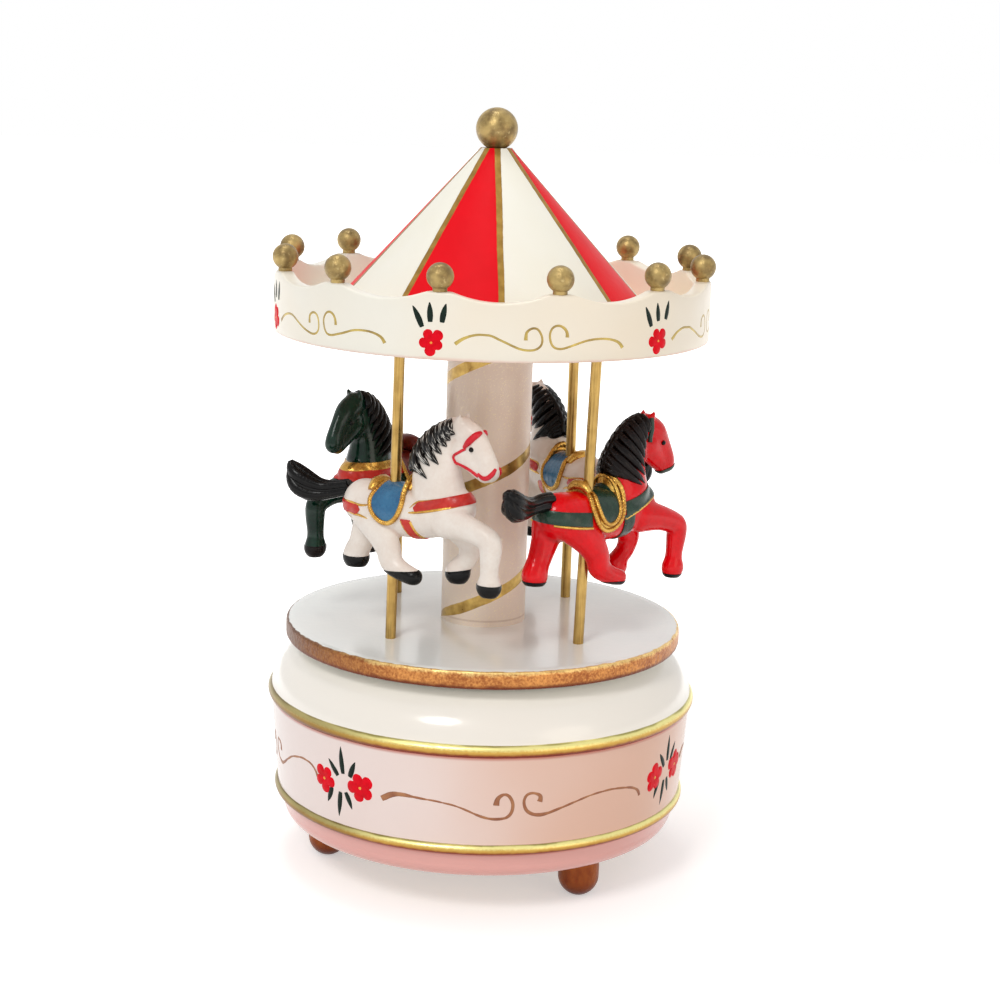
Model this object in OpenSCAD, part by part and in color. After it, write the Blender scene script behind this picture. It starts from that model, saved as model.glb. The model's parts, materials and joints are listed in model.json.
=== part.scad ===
// Wind-up carousel music box: a turned wooden base with a spring movement inside, and on its
// arbor a platform with four horses on poles, a column, a scalloped canopy and a gold ball.
// Millimetres, +Z up, origin on the table under the winding arbor. The front is at -Y.

/* [Base] */
// Radius of the band, right under the upper bead
band_top_r = 51.7; // [50:0.1:64]
// How much narrower the band is right above the lower bead
band_taper = 1.8; // [0:0.1:3]
// Height of the drum, from its lower edge to its flat top
base_h = 43.3; // [42:0.1:56]
// Radius of the rounded shoulder
shoulder_r = 11; // [8:0.1:12]
// Height of the middle of the upper bead over the drum's lower edge
upper_bead_h = 31.9; // [28:0.1:34]
// Height of the middle of the lower bead over the drum's lower edge
lower_bead_h = 7.8; // [6:0.1:10]
// Half the height of the upper bead
upper_bead_r = 1.5; // [1:0.1:2]
// Half the height of the lower bead
lower_bead_r = 1.25; // [1:0.05:2]
// How far a bead stands out of the band
bead_stand = 0.8; // [0.4:0.1:1.2]
// Radius of the rounded lower edge
heel_r = 3.5; // [2:0.1:4.5]
// How far the lower edge is turned in from the band
heel_in = 1.5; // [1:0.1:2.5]
// Thickness of the drum's side at its narrow end
wall_t = 11.9; // [10:0.1:12]
// Thickness of the drum's top over the cavity
roof_t = 4.3; // [3:0.1:6]
// Thickness of the bottom plate
plate_t = 3; // [2:0.1:4]
// Width of the ledge that the bottom plate seats on
ledge_w = 4.6; // [4:0.1:6]

/* [Feet] */
// Height of a foot
foot_h = 10.5; // [8:0.1:14]
// Radius of a foot
foot_r = 4.4; // [3:0.1:5]
// How far the middle of a foot stands in from the edge of the bottom plate
foot_inset = 5.1; // [5:0.1:9]
// Turn of the first foot from the front
foot_turn = 41; // [0:1:119]

/* [Platform and column] */
// Running gap between the base and the platform
deck_gap = 1.95; // [1.5:0.05:4]
// Radius of the platform
platform_r = 48.3; // [44:0.1:58]
// Thickness of the platform
platform_t = 4.3; // [4:0.1:6]
// Radius of the column
column_r = 10.3; // [8:0.1:13]
// Clear height between the platform and the canopy
column_h = 70.5; // [58:0.1:90]

/* [Poles and horses] */
// Radius of a pole
pole_r = 1.25; // [1:0.05:1.5]
// Distance of a pole from the axis
pole_ring_r = 31; // [30:0.1:42]
// Height of the horses over the platform, counted at the saddle
saddle_h = 38; // [26:0.1:50]
// How much higher each horse sits than the first, in the order of the poles
horse_lift = [0, -0.5, 0, -0.8]; // [-2:0.1:2]
// How far each horse is turned from its course, in the order of the poles
horse_turn = [12, -3, -18, 6]; // [-18:1:18]

/* [Canopy] */
// Outer radius of the canopy's rim
canopy_r = 52; // [50:0.1:62]
// Thickness of the canopy's floor
canopy_floor_t = 4; // [3:0.1:6]
// Height of the rim at its peaks
rim_h = 14.8; // [12:0.1:20]
// Thickness of the rim
rim_t = 3.5; // [3:0.1:5]
// Number of scallops, and of balls on the rim
scallops = 12; // [6:1:15]
// Depth of a scallop
scallop_depth = 2; // [1:0.1:3]
// Width of a scallop
scallop_w = 21; // [14:0.5:22]
// Turn of the first ball from the front
ball_turn = 17; // [0:1:29]
// Radius of a ball on the rim
ball_r = 3; // [2:0.1:4]
// Radius of a ball's neck
neck_r = 1.6; // [1:0.1:2]
// Height of the middle of a ball over the rim
ball_h = 3.3; // [3:0.1:5]
// Width of the tray between the rim and the cone's foot
tray_w = 8.5; // [6:0.1:12]
// Radius of the cone's tip
cone_tip_r = 3.7; // [3:0.1:5]
// Height of the cone
cone_h = 39.7; // [30:0.1:50]
// Radius of the gold ball on top
finial_r = 4.95; // [4:0.05:7]

/* [Movement] */
// Radius of the winding arbor
arbor_r = 1.5; // [1.2:0.05:2]
// Thickness of the bedplate
bedplate_t = 2; // [1.5:0.1:3]
// Outer radius of the spring can
can_r = 12; // [10:0.1:12]
// Height of the spring can
can_h = 13; // [10:0.1:16]
// Tooth size of the gears, as pitch diameter over teeth
gear_module = 0.5; // [0.45:0.01:0.55]
// Teeth of the crown wheel on the arbor
crown_teeth = 36; // [30:1:40]
// Teeth of the cylinder's pinion
cylinder_pinion_teeth = 12; // [10:1:14]
// Teeth of the cylinder's gear
cylinder_gear_teeth = 32; // [28:1:36]
// Teeth of the governor's pinion
governor_pinion_teeth = 10; // [10:1:12]
// Teeth of the worm wheel on the governor's shaft
worm_wheel_teeth = 24; // [20:1:26]
// Notes of the comb
notes = 18; // [12:1:18]
// Distance between two notes
note_pitch = 0.8; // [0.7:0.05:0.85]
// Radius of the music cylinder
cylinder_r = 6.5; // [5.5:0.1:6.8]

/* [Clearances] */
// Between a turning shaft and its bearing
running_gap = 0.05; // [0.02:0.01:0.1]
// Between a peg or a screw and its hole
peg_gap = 0.04; // [0.02:0.01:0.1]

/* [Hidden] */
$fn = 72;

// Colours
cream = "#f4ece2";
pale_pink = "#f3dcd6";
gold = "#a8884a";
copper = "#b08050";
brass = "#c9a650";
steel = "#a9adb2";
dark_steel = "#5c6066";
red = "#d8182a";
green = "#173c2c";
wood = "#caa878";

// Heights of the base
base_z = foot_h;
base_top_z = base_z + base_h;
cavity_z0 = base_z + plate_t;
cavity_z1 = base_top_z - roof_t;
band_bottom_r = band_top_r - band_taper;
cavity_r = band_bottom_r - wall_t;
plate_r = cavity_r + ledge_w;
foot_ring_r = plate_r - foot_inset;
heel_out_r = band_bottom_r - heel_in;
plate_screw_ring_r = (cavity_r + plate_r) / 2;

// Heights of the carousel
deck_z = base_top_z + deck_gap;
platform_z = deck_z + platform_t;
canopy_z = platform_z + column_h;
canopy_floor_z = canopy_z + canopy_floor_t;
rim_z = canopy_z + rim_h;
cone_r = canopy_r - rim_t - tray_w;
cone_top_z = canopy_floor_z + cone_h;
finial_neck_r = 2.2;
finial_z = cone_top_z + sqrt(pow(finial_r, 2) - pow(finial_neck_r, 2));

// Joinery. A cut runs past the face it starts from by cut_over.
cut_over = 1;
bush_r = 3.2;
bush_flange_r = 5;
bush_flange_t = 0.5;
finial_peg_r = 1.5;
finial_peg_h = 8;
tenon_r = 5;
tenon_h = 1.9;
dowel_r = 2;
dowel_up = 9;
dowel_down = 6;
ball_peg_r = 0.9;
ball_peg_h = 4;
pole_seat_h = 3;
hub_r = 8;
hub_flange_t = 1.2;
hub_boss_r = 3.5;
hub_boss_h = 1;
hub_screw_ring_r = 5.8;
small_screw_r = 0.6;
small_screw_head_r = 1.1;
small_screw_head_t = 0.5;
wood_screw_r = 0.9;
wood_screw_head_r = 1.6;
wood_screw_head_t = 0.8;
wood_screw_h = 6;
screw_end_gap = 0.6;
foot_peg_r = 1.5;
foot_pad_r = 2.4;

// Places of the movement, which hangs under the roof of the cavity
bedplate_z0 = cavity_z1 - bedplate_t;
can_z0 = bedplate_z0 - can_h;
can_wall_t = 0.8;
can_flange_r = can_r + 2.2;
arbor_drum_r = 3;
crown_gap = 1;
crown_disc_t = 1.2;
crown_z1 = can_z0 - crown_gap;
crown_z0 = crown_z1 - crown_disc_t;
crown_tooth_h = 1.2;
crown_tooth_w = 2;
crown_tooth_r = 10.5;
pinion_pitch_r = crown_tooth_r * cylinder_pinion_teeth / crown_teeth;
cylinder_z = crown_z0 - crown_tooth_h / 2 - pinion_pitch_r;
ratchet_r = 4.6;
ratchet_t = 1;
ratchet_teeth = 16;
click_r = 7;
click_boss_r = 1.3;
click_rivet_r = 0.6;
shaft_r = 1;
governor_shaft_r = 0.6;
fly_shaft_r = 0.5;
near_bearing_x = can_r + 0.5;
bearing_t = 1;
cylinder_x0 = near_bearing_x + bearing_t + 0.6;
cylinder_len = notes * note_pitch + 0.8;
cylinder_x1 = cylinder_x0 + cylinder_len;
first_note_x = cylinder_x0 + 0.8;
pin_stand = 0.5;
pin_r = 0.15;
pin_depth = 1.5;
pin_rows = 12;
comb_gap = 0.15;
comb_t = 1;
comb_y1 = -(cylinder_r + pin_stand + comb_gap);
comb_y0 = -23;
comb_heel_y = -15.5;
worm_x = cylinder_x1 + 1.2;
gear_x0 = worm_x + 1.6;
gear_t = 1.2;
far_bearing_x = gear_x0 + gear_t + 0.8;
gear_distance = gear_module * (cylinder_gear_teeth + governor_pinion_teeth) / 2;
worm_wheel_t = 0.8;
worm_r = 1.3;
worm_ecc = 0.35;
worm_depth = 0.2;
worm_wheel_r = gear_module * worm_wheel_teeth / 2;
tooth_add = 0.3;
tooth_ded = 0.55;
fly_rise = worm_wheel_r + tooth_add + worm_r + worm_ecc - worm_depth;
vane_r = 2.8;
frame_web_t = 0.9;
vane_room = frame_web_t + 0.2;
governor_rise = min(gear_distance * sin(45), bedplate_z0 - vane_room - vane_r - fly_rise - cylinder_z);
governor_angle = asin(governor_rise / gear_distance);
governor_y = gear_distance * cos(governor_angle);
governor_z = cylinder_z + governor_rise;
fly_z = governor_z + fly_rise;
fly_y0 = -11.5;
fly_y1 = governor_y + 6;
worm_len = 5;
vane_len = 7;
vane_t = 0.4;
vane_tube_r = 1;
lug_t = 1;
bedplate_r = cavity_r - 0.8;
bedplate_y1 = 18;
bearing_drop = 2.5;
bearing_w = 7;
arm_x = worm_x - 3.6;
arm_t = 0.8;
arm_w = 4.4;
lug_w = 3.6;
arbor_z0 = crown_z0 - ratchet_t - 1;
arbor_z1 = platform_z + 3;
ratchet_z0 = crown_z0 - ratchet_t - 0.1;
can_flange_t = 1;
can_screw_ring_r = can_r + 1.1;
can_screw_head_r = 1;
comb_screw_x = [cylinder_x0 + 3, cylinder_x1 - 3];
comb_screw_y = (comb_y0 + comb_heel_y) / 2;
comb_screw_h = 3;
frame_screws = [[cylinder_x1 - 2, governor_y + 3.6], [worm_x, 1]];
bedplate_screw_xy = [[-8, 16], [-8, -16], [19, 14], [7, -19]];
bedplate_screw_h = 3;
hub_screw_h = 2;

// The horse's joints, each [forward, left, up] from the foot of its pole, and a radius.
// Heights are counted from a saddle at 38.
horse_fn = 14;
drawn_saddle_h = 38;
hoof_flat_z = 14.6;
horse_reach = 40;
rump = [[-8.3, 0, 31.8], 5.9];
barrel = [[3, 0, 31], 6.2];
shoulder = [[14.3, 0, 32.2], 5.9];
withers = [[11.5, 0, 40], 5.6];
neck_top = [[14.6, 0, 49.2], 5];
crown = [[19.5, 0, 52.4], 3];
cheek = [[20.3, 0, 46.8], 4];
muzzle = [[25.6, 0, 43.4], 2.6];
near_hind = [[[-6, -3, 28.5], 4.3], [[0.5, -4.2, 21.5], 2.9], [[8, -4.4, 16.6], 2.1]];
far_hind = [[[-8.5, 2.4, 28.5], 4.3], [[-10.7, 2, 22], 2.8], [[-11.2, 1.8, 17], 3]];
near_fore = [[[16.5, -3, 30], 3.6], [[28.8, -3.2, 27.1], 2.4], [[28.5, -3.2, 17.2], 3.2]];
far_fore = [[[16, 3, 28], 3.4], [[21, 3.4, 23.5], 2.4], [[18.2, 3.4, 18.5], 2.6]];
tail = [[[-12.5, 0, 35.5], 2.2], [[-18.5, -1.2, 33.9], 2.1], [[-23.8, -3, 35], 2.8],
        [[-26.8, -4, 38.4], 1.2]];

// Turned outline of the drum, as a half section
module drum_outline() {
    shoulder_x = band_top_r - shoulder_r;
    shoulder_y = base_top_z - shoulder_r;
    bead_1_z = base_z + upper_bead_h;
    bead_2_z = base_z + lower_bead_h;
    difference() {
        union() {
            polygon([[0, bead_2_z], [band_bottom_r, bead_2_z], [band_top_r, bead_1_z],
                     [band_top_r, shoulder_y], [0, shoulder_y]]);
            translate([shoulder_x, shoulder_y]) circle(shoulder_r);
            translate([0, shoulder_y]) square([shoulder_x, shoulder_r]);
            translate([band_top_r + bead_stand - upper_bead_r, bead_1_z]) circle(upper_bead_r);
            translate([band_bottom_r + bead_stand - lower_bead_r, bead_2_z]) circle(lower_bead_r);
            polygon([[0, base_z + heel_r], [heel_out_r, base_z + heel_r],
                     [band_bottom_r - heel_in / 3, bead_2_z], [0, bead_2_z]]);
            translate([heel_out_r - heel_r, base_z + heel_r]) circle(heel_r);
            translate([0, base_z]) square([heel_out_r - heel_r, heel_r]);
        }
        translate([-band_top_r, base_z - cut_over]) square([band_top_r, base_h + 2 * cut_over]);
    }
}

module base_drum() {
    color(pale_pink)
    difference() {
        rotate_extrude() drum_outline();
        translate([0, 0, cavity_z0 - cut_over])
            cylinder(r = cavity_r, h = cavity_z1 - cavity_z0 + cut_over);
        translate([0, 0, base_z - cut_over])
            cylinder(r = plate_r + peg_gap, h = plate_t + cut_over);
        translate([0, 0, cavity_z1 - cut_over])
            cylinder(r = bush_r + peg_gap, h = roof_t + 2 * cut_over);
        plate_screw_places()
            translate([0, 0, base_z])
                cylinder(r = wood_screw_r + peg_gap, h = wood_screw_h + screw_end_gap);
        bedplate_screw_places()
            translate([0, 0, bedplate_z0])
                cylinder(r = small_screw_r + peg_gap,
                         h = bedplate_t + bedplate_screw_h - small_screw_head_t + screw_end_gap);
    }
}

module plate_screw_places() {
    for (i = [0:2])
        rotate(foot_turn + 60 + 120 * i - 90) translate([plate_screw_ring_r, 0, 0]) children();
}

module bottom_plate() {
    color(wood)
    difference() {
        translate([0, 0, base_z]) cylinder(r = plate_r, h = plate_t);
        plate_screw_places() {
            translate([0, 0, base_z - cut_over])
                cylinder(r = wood_screw_r + peg_gap, h = plate_t + 2 * cut_over);
            translate([0, 0, base_z - cut_over])
                cylinder(r = wood_screw_head_r + peg_gap,
                         h = cut_over + wood_screw_head_t + peg_gap);
        }
        for (i = [1:3])
            foot_place(i)
                translate([0, 0, base_z - cut_over])
                    cylinder(r = foot_peg_r + peg_gap, h = plate_t + 2 * cut_over);
    }
}

module plate_screws() {
    color(brass)
    plate_screw_places() {
        translate([0, 0, base_z]) cylinder(r = wood_screw_head_r, h = wood_screw_head_t);
        translate([0, 0, base_z]) cylinder(r = wood_screw_r, h = wood_screw_h);
    }
}

module foot_place(i) {
    rotate(foot_turn - 90 + 120 * (i - 1)) translate([foot_ring_r, 0, 0]) children();
}

// A turned foot: a dome with a small flat below, and a peg that goes up into the bottom plate
module foot(i) {
    dome_z = sqrt(pow(foot_r, 2) - pow(foot_pad_r, 2));
    color(copper)
    foot_place(i) {
        intersection() {
            translate([0, 0, dome_z]) sphere(foot_r);
            cylinder(r = foot_r, h = dome_z);
        }
        translate([0, 0, dome_z]) cylinder(r = foot_r, h = foot_h - dome_z);
        cylinder(r = foot_peg_r, h = foot_h + plate_t);
    }
}

module roof_bush() {
    color(brass)
    difference() {
        union() {
            translate([0, 0, cavity_z1]) cylinder(r = bush_r, h = roof_t);
            translate([0, 0, base_top_z]) cylinder(r = bush_flange_r, h = bush_flange_t);
        }
        translate([0, 0, cavity_z1 - cut_over])
            cylinder(r = arbor_r + running_gap, h = roof_t + bush_flange_t + 2 * cut_over);
    }
}

module bedplate_screw_places() {
    for (p = bedplate_screw_xy) translate([p[0], p[1], 0]) children();
}

module bedplate_screws() {
    color(dark_steel)
    bedplate_screw_places() {
        translate([0, 0, bedplate_z0 - small_screw_head_t])
            cylinder(r = small_screw_head_r, h = small_screw_head_t);
        translate([0, 0, bedplate_z0 - small_screw_head_t])
            cylinder(r = small_screw_r, h = bedplate_t + bedplate_screw_h);
    }
}

module can_screw_places() {
    for (a = [90, 180, 270]) rotate(a) translate([can_screw_ring_r, 0, 0]) children();
}

module bedplate_hole() {
    translate([0, 0, bedplate_z0 - cut_over])
        cylinder(r = small_screw_r + peg_gap, h = bedplate_t + 2 * cut_over);
}

// The bedplate carries the whole movement: the cylinder's near bearing and the block that the
// comb is screwed to are cast on it
module bedplate() {
    color(steel)
    difference() {
        union() {
            intersection() {
                translate([0, 0, bedplate_z0]) cylinder(r = bedplate_r, h = bedplate_t);
                translate([-can_flange_r - 1, comb_y0, bedplate_z0])
                    cube([can_flange_r + 1 + far_bearing_x + bearing_t, bedplate_y1 - comb_y0,
                          bedplate_t]);
            }
            translate([near_bearing_x, -bearing_w / 2, cylinder_z - bearing_drop])
                cube([bearing_t, bearing_w, bedplate_z0 + bedplate_t / 2 - cylinder_z + bearing_drop]);
            translate([cylinder_x0, comb_y0, cylinder_z + comb_t / 2])
                cube([cylinder_x1 - cylinder_x0, comb_heel_y - comb_y0,
                      bedplate_z0 + bedplate_t / 2 - cylinder_z - comb_t / 2]);
        }
        translate([0, 0, bedplate_z0 - cut_over])
            cylinder(r = arbor_r + 2 * running_gap, h = bedplate_t + 2 * cut_over);
        translate([near_bearing_x - cut_over, 0, cylinder_z]) rotate([0, 90, 0])
            cylinder(r = shaft_r + running_gap, h = bearing_t + 2 * cut_over);
        bedplate_screw_places() bedplate_hole();
        can_screw_places() bedplate_hole();
        for (p = frame_screws) translate([p[0], p[1], 0]) bedplate_hole();
        for (x = comb_screw_x)
            translate([x, comb_screw_y, cylinder_z])
                cylinder(r = small_screw_r + peg_gap, h = comb_t / 2 + comb_screw_h + screw_end_gap);
    }
}

module spring_can() {
    color(brass)
    difference() {
        union() {
            translate([0, 0, can_z0]) cylinder(r = can_r, h = can_h);
            intersection() {
                translate([0, 0, bedplate_z0 - can_flange_t])
                    cylinder(r = can_flange_r, h = can_flange_t);
                translate([-can_flange_r, -can_flange_r, bedplate_z0 - can_flange_t])
                    cube([can_flange_r + near_bearing_x - 0.2, 2 * can_flange_r, can_flange_t]);
            }
        }
        translate([0, 0, can_z0 + can_wall_t])
            cylinder(r = can_r - can_wall_t, h = can_h);
        translate([0, 0, can_z0 - cut_over])
            cylinder(r = arbor_r + running_gap, h = can_wall_t + 2 * cut_over);
        can_screw_places()
            translate([0, 0, bedplate_z0 - can_flange_t - cut_over])
                cylinder(r = small_screw_r + peg_gap, h = can_flange_t + 2 * cut_over);
    }
}

module can_screws() {
    color(dark_steel)
    can_screw_places() {
        translate([0, 0, bedplate_z0 - can_flange_t - small_screw_head_t])
            cylinder(r = can_screw_head_r, h = small_screw_head_t);
        translate([0, 0, bedplate_z0 - can_flange_t - small_screw_head_t])
            cylinder(r = small_screw_r, h = bedplate_t + can_flange_t);
    }
}

// The coiled ribbon of the mainspring, from near the arbor's drum to the wall of the can
module mainspring() {
    turns = 5;
    steps = 30 * turns;
    inner_r = arbor_drum_r + 0.5;
    outer_r = can_r - can_wall_t - 0.25;
    strip_t = 0.5;
    function spiral(r0, k) = (r0 + (outer_r - strip_t - inner_r) * k / steps)
        * [cos(360 * turns * k / steps), sin(360 * turns * k / steps)];
    color(dark_steel)
    translate([0, 0, can_z0 + can_wall_t + 0.2])
        linear_extrude(can_h - can_wall_t - 0.7)
            polygon(concat([for (k = [0:steps]) spiral(inner_r, k)],
                           [for (k = [steps:-1:0]) spiral(inner_r + strip_t, k)]));
}

module comb() {
    tooth_w = note_pitch * 0.7;
    color(steel)
    difference() {
        union() {
            translate([cylinder_x0, comb_y0, cylinder_z - comb_t / 2])
                cube([cylinder_x1 - cylinder_x0, comb_heel_y - comb_y0, comb_t]);
            for (i = [0:notes - 1])
                translate([first_note_x + i * note_pitch - tooth_w / 2, comb_heel_y - 0.1,
                           cylinder_z - comb_t / 4])
                    cube([tooth_w, comb_y1 - comb_heel_y + 0.1, comb_t / 2]);
        }
        for (x = comb_screw_x)
            translate([x, comb_screw_y, cylinder_z - comb_t])
                cylinder(r = small_screw_r + peg_gap, h = 2 * comb_t);
    }
}

module comb_screws() {
    color(dark_steel)
    for (x = comb_screw_x)
        translate([x, comb_screw_y, cylinder_z - comb_t / 2 - small_screw_head_t]) {
            cylinder(r = small_screw_head_r, h = small_screw_head_t);
            cylinder(r = small_screw_r, h = small_screw_head_t + comb_t + comb_screw_h);
        }
}

// One bracket under the bedplate holds the far end of the cylinder and the governor's shafts
module governor_frame() {
    web_z = bedplate_z0 - frame_web_t;
    color(brass)
    difference() {
        union() {
            intersection() {
                translate([arm_x, fly_y0, web_z])
                    cube([far_bearing_x + bearing_t - arm_x, fly_y1 + 1 - fly_y0, frame_web_t]);
                translate([0, 0, web_z]) cylinder(r = bedplate_r, h = frame_web_t);
            }
            translate([far_bearing_x, -bearing_w / 2, cylinder_z - bearing_drop])
                cube([bearing_t, governor_y + (bearing_w + arm_w) / 2,
                      web_z + frame_web_t / 2 - cylinder_z + bearing_drop]);
            translate([arm_x, governor_y - arm_w / 2, governor_z - arm_w / 2])
                cube([arm_t, arm_w, web_z + frame_web_t / 2 - governor_z + arm_w / 2]);
            for (y = [fly_y0, fly_y1 - lug_t])
                translate([worm_x - lug_w / 2, y, fly_z - lug_w / 2])
                    cube([lug_w, lug_t, web_z + frame_web_t / 2 - fly_z + lug_w / 2]);
        }
        translate([far_bearing_x - cut_over, 0, cylinder_z]) rotate([0, 90, 0])
            cylinder(r = shaft_r + running_gap, h = bearing_t + 2 * cut_over);
        translate([arm_x - cut_over, governor_y, governor_z]) rotate([0, 90, 0])
            cylinder(r = governor_shaft_r + running_gap,
                     h = far_bearing_x - arm_x + bearing_t + 2 * cut_over);
        translate([worm_x, fly_y0 - cut_over, fly_z]) rotate([-90, 0, 0])
            cylinder(r = fly_shaft_r + running_gap, h = fly_y1 - fly_y0 + 2 * cut_over);
        for (p = frame_screws)
            translate([p[0], p[1], web_z - cut_over])
                cylinder(r = small_screw_r + peg_gap, h = frame_web_t + 2 * cut_over);
    }
}

module governor_screws() {
    color(dark_steel)
    for (p = frame_screws)
        translate([p[0], p[1], bedplate_z0 - frame_web_t - small_screw_head_t]) {
            cylinder(r = small_screw_head_r, h = small_screw_head_t);
            cylinder(r = small_screw_r, h = small_screw_head_t + frame_web_t + bedplate_t);
        }
}

module winding_arbor() {
    color(dark_steel) {
        translate([0, 0, arbor_z0]) cylinder(r = arbor_r, h = arbor_z1 - arbor_z0);
        translate([0, 0, can_z0 + can_wall_t + 0.1])
            cylinder(r = arbor_drum_r, h = can_h - can_wall_t - 0.4);
    }
}

// A row of teeth around a rim, each a trapezoid that starts inside the rim
module teeth_outline(count, root_r, tip_r, root_w, tip_w) {
    start_r = root_r - 0.15;
    for (i = [0:count - 1])
        rotate(360 * i / count)
            polygon([[start_r, -root_w / 2], [tip_r, -tip_w / 2],
                     [tip_r, tip_w / 2], [start_r, root_w / 2]]);
}

// A spur gear along X, with its first tooth at first_angle from +Y
module spur_x(count, thick, bore_r, first_angle) {
    pitch_r = gear_module * count / 2;
    rotate([90, 0, 90])
        linear_extrude(thick)
            difference() {
                rotate(first_angle) {
                    circle(pitch_r - tooth_ded);
                    teeth_outline(count, pitch_r - tooth_ded, pitch_r + tooth_add,
                                  gear_module * 1.3, gear_module * 0.6);
                }
                circle(bore_r);
            }
}

// The saw-toothed ratchet wheel pressed on the arbor
module ratchet_wheel() {
    color(steel)
    translate([0, 0, ratchet_z0])
        linear_extrude(ratchet_t)
            difference() {
                union() {
                    circle(ratchet_r - 0.8);
                    for (i = [0:ratchet_teeth - 1])
                        rotate(360 * i / ratchet_teeth)
                            polygon([[ratchet_r - 1, 0], [ratchet_r, 0],
                                     [(ratchet_r - 0.8) * cos(20), (ratchet_r - 0.8) * sin(20)],
                                     [(ratchet_r - 1.2) * cos(20), (ratchet_r - 1.2) * sin(20)]]);
                }
                circle(arbor_r);
            }
}

// The click: a pawl riveted under the crown wheel, with its nose in the ratchet's teeth
module click() {
    color(dark_steel)
    translate([0, 0, ratchet_z0])
        union() {
            translate([0, -click_r, 0]) cylinder(r = click_boss_r, h = ratchet_t);
            linear_extrude(ratchet_t)
                polygon([[0, -click_r - 1], [0, -click_r + 1.1],
                         [2.6, -ratchet_r + 0.5], [3.3, -ratchet_r + 0.2]]);
            translate([0, -click_r, 0])
                cylinder(r = click_rivet_r, h = crown_z0 + crown_disc_t - ratchet_z0);
        }
}

module crown_wheel() {
    color(brass)
    difference() {
        union() {
            translate([0, 0, crown_z0])
                cylinder(r = crown_tooth_r + crown_tooth_w / 2, h = crown_disc_t);
            for (i = [0:crown_teeth - 1])
                rotate(360 * i / crown_teeth)
                    translate([crown_tooth_r - crown_tooth_w / 2, 0, crown_z0 + 0.1])
                        rotate([90, 0, 90])
                            linear_extrude(crown_tooth_w)
                                polygon([[-0.4, 0], [-0.18, -crown_tooth_h - 0.1],
                                         [0.18, -crown_tooth_h - 0.1], [0.4, 0]]);
        }
        translate([0, 0, crown_z0 - cut_over])
            cylinder(r = arbor_r, h = crown_disc_t + 2 * cut_over);
        translate([0, -click_r, crown_z0 - cut_over])
            cylinder(r = click_rivet_r + peg_gap, h = crown_disc_t + 2 * cut_over);
    }
}

module cylinder_pinion() {
    tip_r = pinion_pitch_r + 0.45;
    root_r = pinion_pitch_r - 0.85;
    color(brass)
    translate([crown_tooth_r - crown_tooth_w / 2, 0, cylinder_z])
        rotate([90, 0, 90])
            linear_extrude(near_bearing_x - 0.3 - crown_tooth_r + crown_tooth_w / 2)
                difference() {
                    rotate(90 + 180 / cylinder_pinion_teeth) {
                        circle(root_r);
                        teeth_outline(cylinder_pinion_teeth, root_r, tip_r, 0.9, 0.4);
                    }
                    circle(shaft_r);
                }
}

module cylinder_shaft() {
    color(steel)
    translate([crown_tooth_r - crown_tooth_w / 2, 0, cylinder_z]) rotate([0, 90, 0])
        cylinder(r = shaft_r, h = far_bearing_x + bearing_t - crown_tooth_r + crown_tooth_w / 2);
}

module music_cylinder() {
    color(brass)
    difference() {
        translate([cylinder_x0, 0, cylinder_z]) rotate([0, 90, 0])
            cylinder(r = cylinder_r, h = cylinder_len);
        translate([cylinder_x0 - cut_over, 0, cylinder_z]) rotate([0, 90, 0])
            cylinder(r = shaft_r, h = cylinder_len + 2 * cut_over);
        for (i = [0:notes - 1])
            for (k = [0:1])
                pin_place(i, k) cylinder(r = pin_r, h = pin_depth + pin_stand);
    }
}

// Two pins for each note, spread around the cylinder by a stride that shares no step with the rows
module pin_place(i, k) {
    translate([first_note_x + i * note_pitch, 0, cylinder_z])
        rotate([(5 * i + 7 * k + 1) * 270 / pin_rows, 0, 0])
            translate([0, 0, cylinder_r - pin_depth]) children();
}

module cylinder_pins() {
    color(steel)
    for (i = [0:notes - 1])
        for (k = [0:1])
            pin_place(i, k) cylinder(r = pin_r, h = pin_depth + pin_stand);
}

module cylinder_gear() {
    color(brass)
    translate([gear_x0, 0, cylinder_z])
        spur_x(cylinder_gear_teeth, gear_t, shaft_r, governor_angle);
}

module governor_wheel() {
    color(steel)
    translate([arm_x, governor_y, governor_z]) rotate([0, 90, 0])
        cylinder(r = governor_shaft_r, h = far_bearing_x + bearing_t - arm_x);
    color(brass)
    translate([worm_x - worm_wheel_t / 2, governor_y, governor_z])
        spur_x(worm_wheel_teeth, worm_wheel_t, 0.1, 90);
}

module governor_pinion() {
    color(steel)
    translate([gear_x0, governor_y, governor_z])
        spur_x(governor_pinion_teeth, gear_t, governor_shaft_r,
               governor_angle + 180 + 180 / governor_pinion_teeth);
}

// The worm: an off-centre round twisted along the fly's shaft, once for each tooth it moves
module fly_worm() {
    turns = worm_len / (PI * gear_module);
    color(steel)
    translate([worm_x, 0, fly_z])
        rotate([-90, 0, 0]) {
            translate([0, 0, fly_y0]) cylinder(r = fly_shaft_r, h = fly_y1 - fly_y0);
            translate([0, 0, governor_y - worm_len / 2])
                rotate(270 - 180 * turns)
                    linear_extrude(worm_len, twist = -360 * turns, slices = ceil(12 * turns),
                                   segments = 14)
                        translate([worm_ecc, 0]) circle(worm_r, $fn = 14);
        }
}

module fly_vane() {
    color(brass)
    translate([worm_x, fly_y0 + lug_t + 0.6, fly_z])
        difference() {
            union() {
                translate([-vane_r, 0, -vane_t / 2]) cube([2 * vane_r, vane_len, vane_t]);
                rotate([-90, 0, 0]) cylinder(r = vane_tube_r, h = vane_len);
            }
            translate([0, -cut_over, 0]) rotate([-90, 0, 0])
                cylinder(r = fly_shaft_r, h = vane_len + 2 * cut_over);
        }
}

module hub_screw_places() {
    for (i = [0:2]) rotate(60 + 120 * i) translate([hub_screw_ring_r, 0, 0]) children();
}

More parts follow.
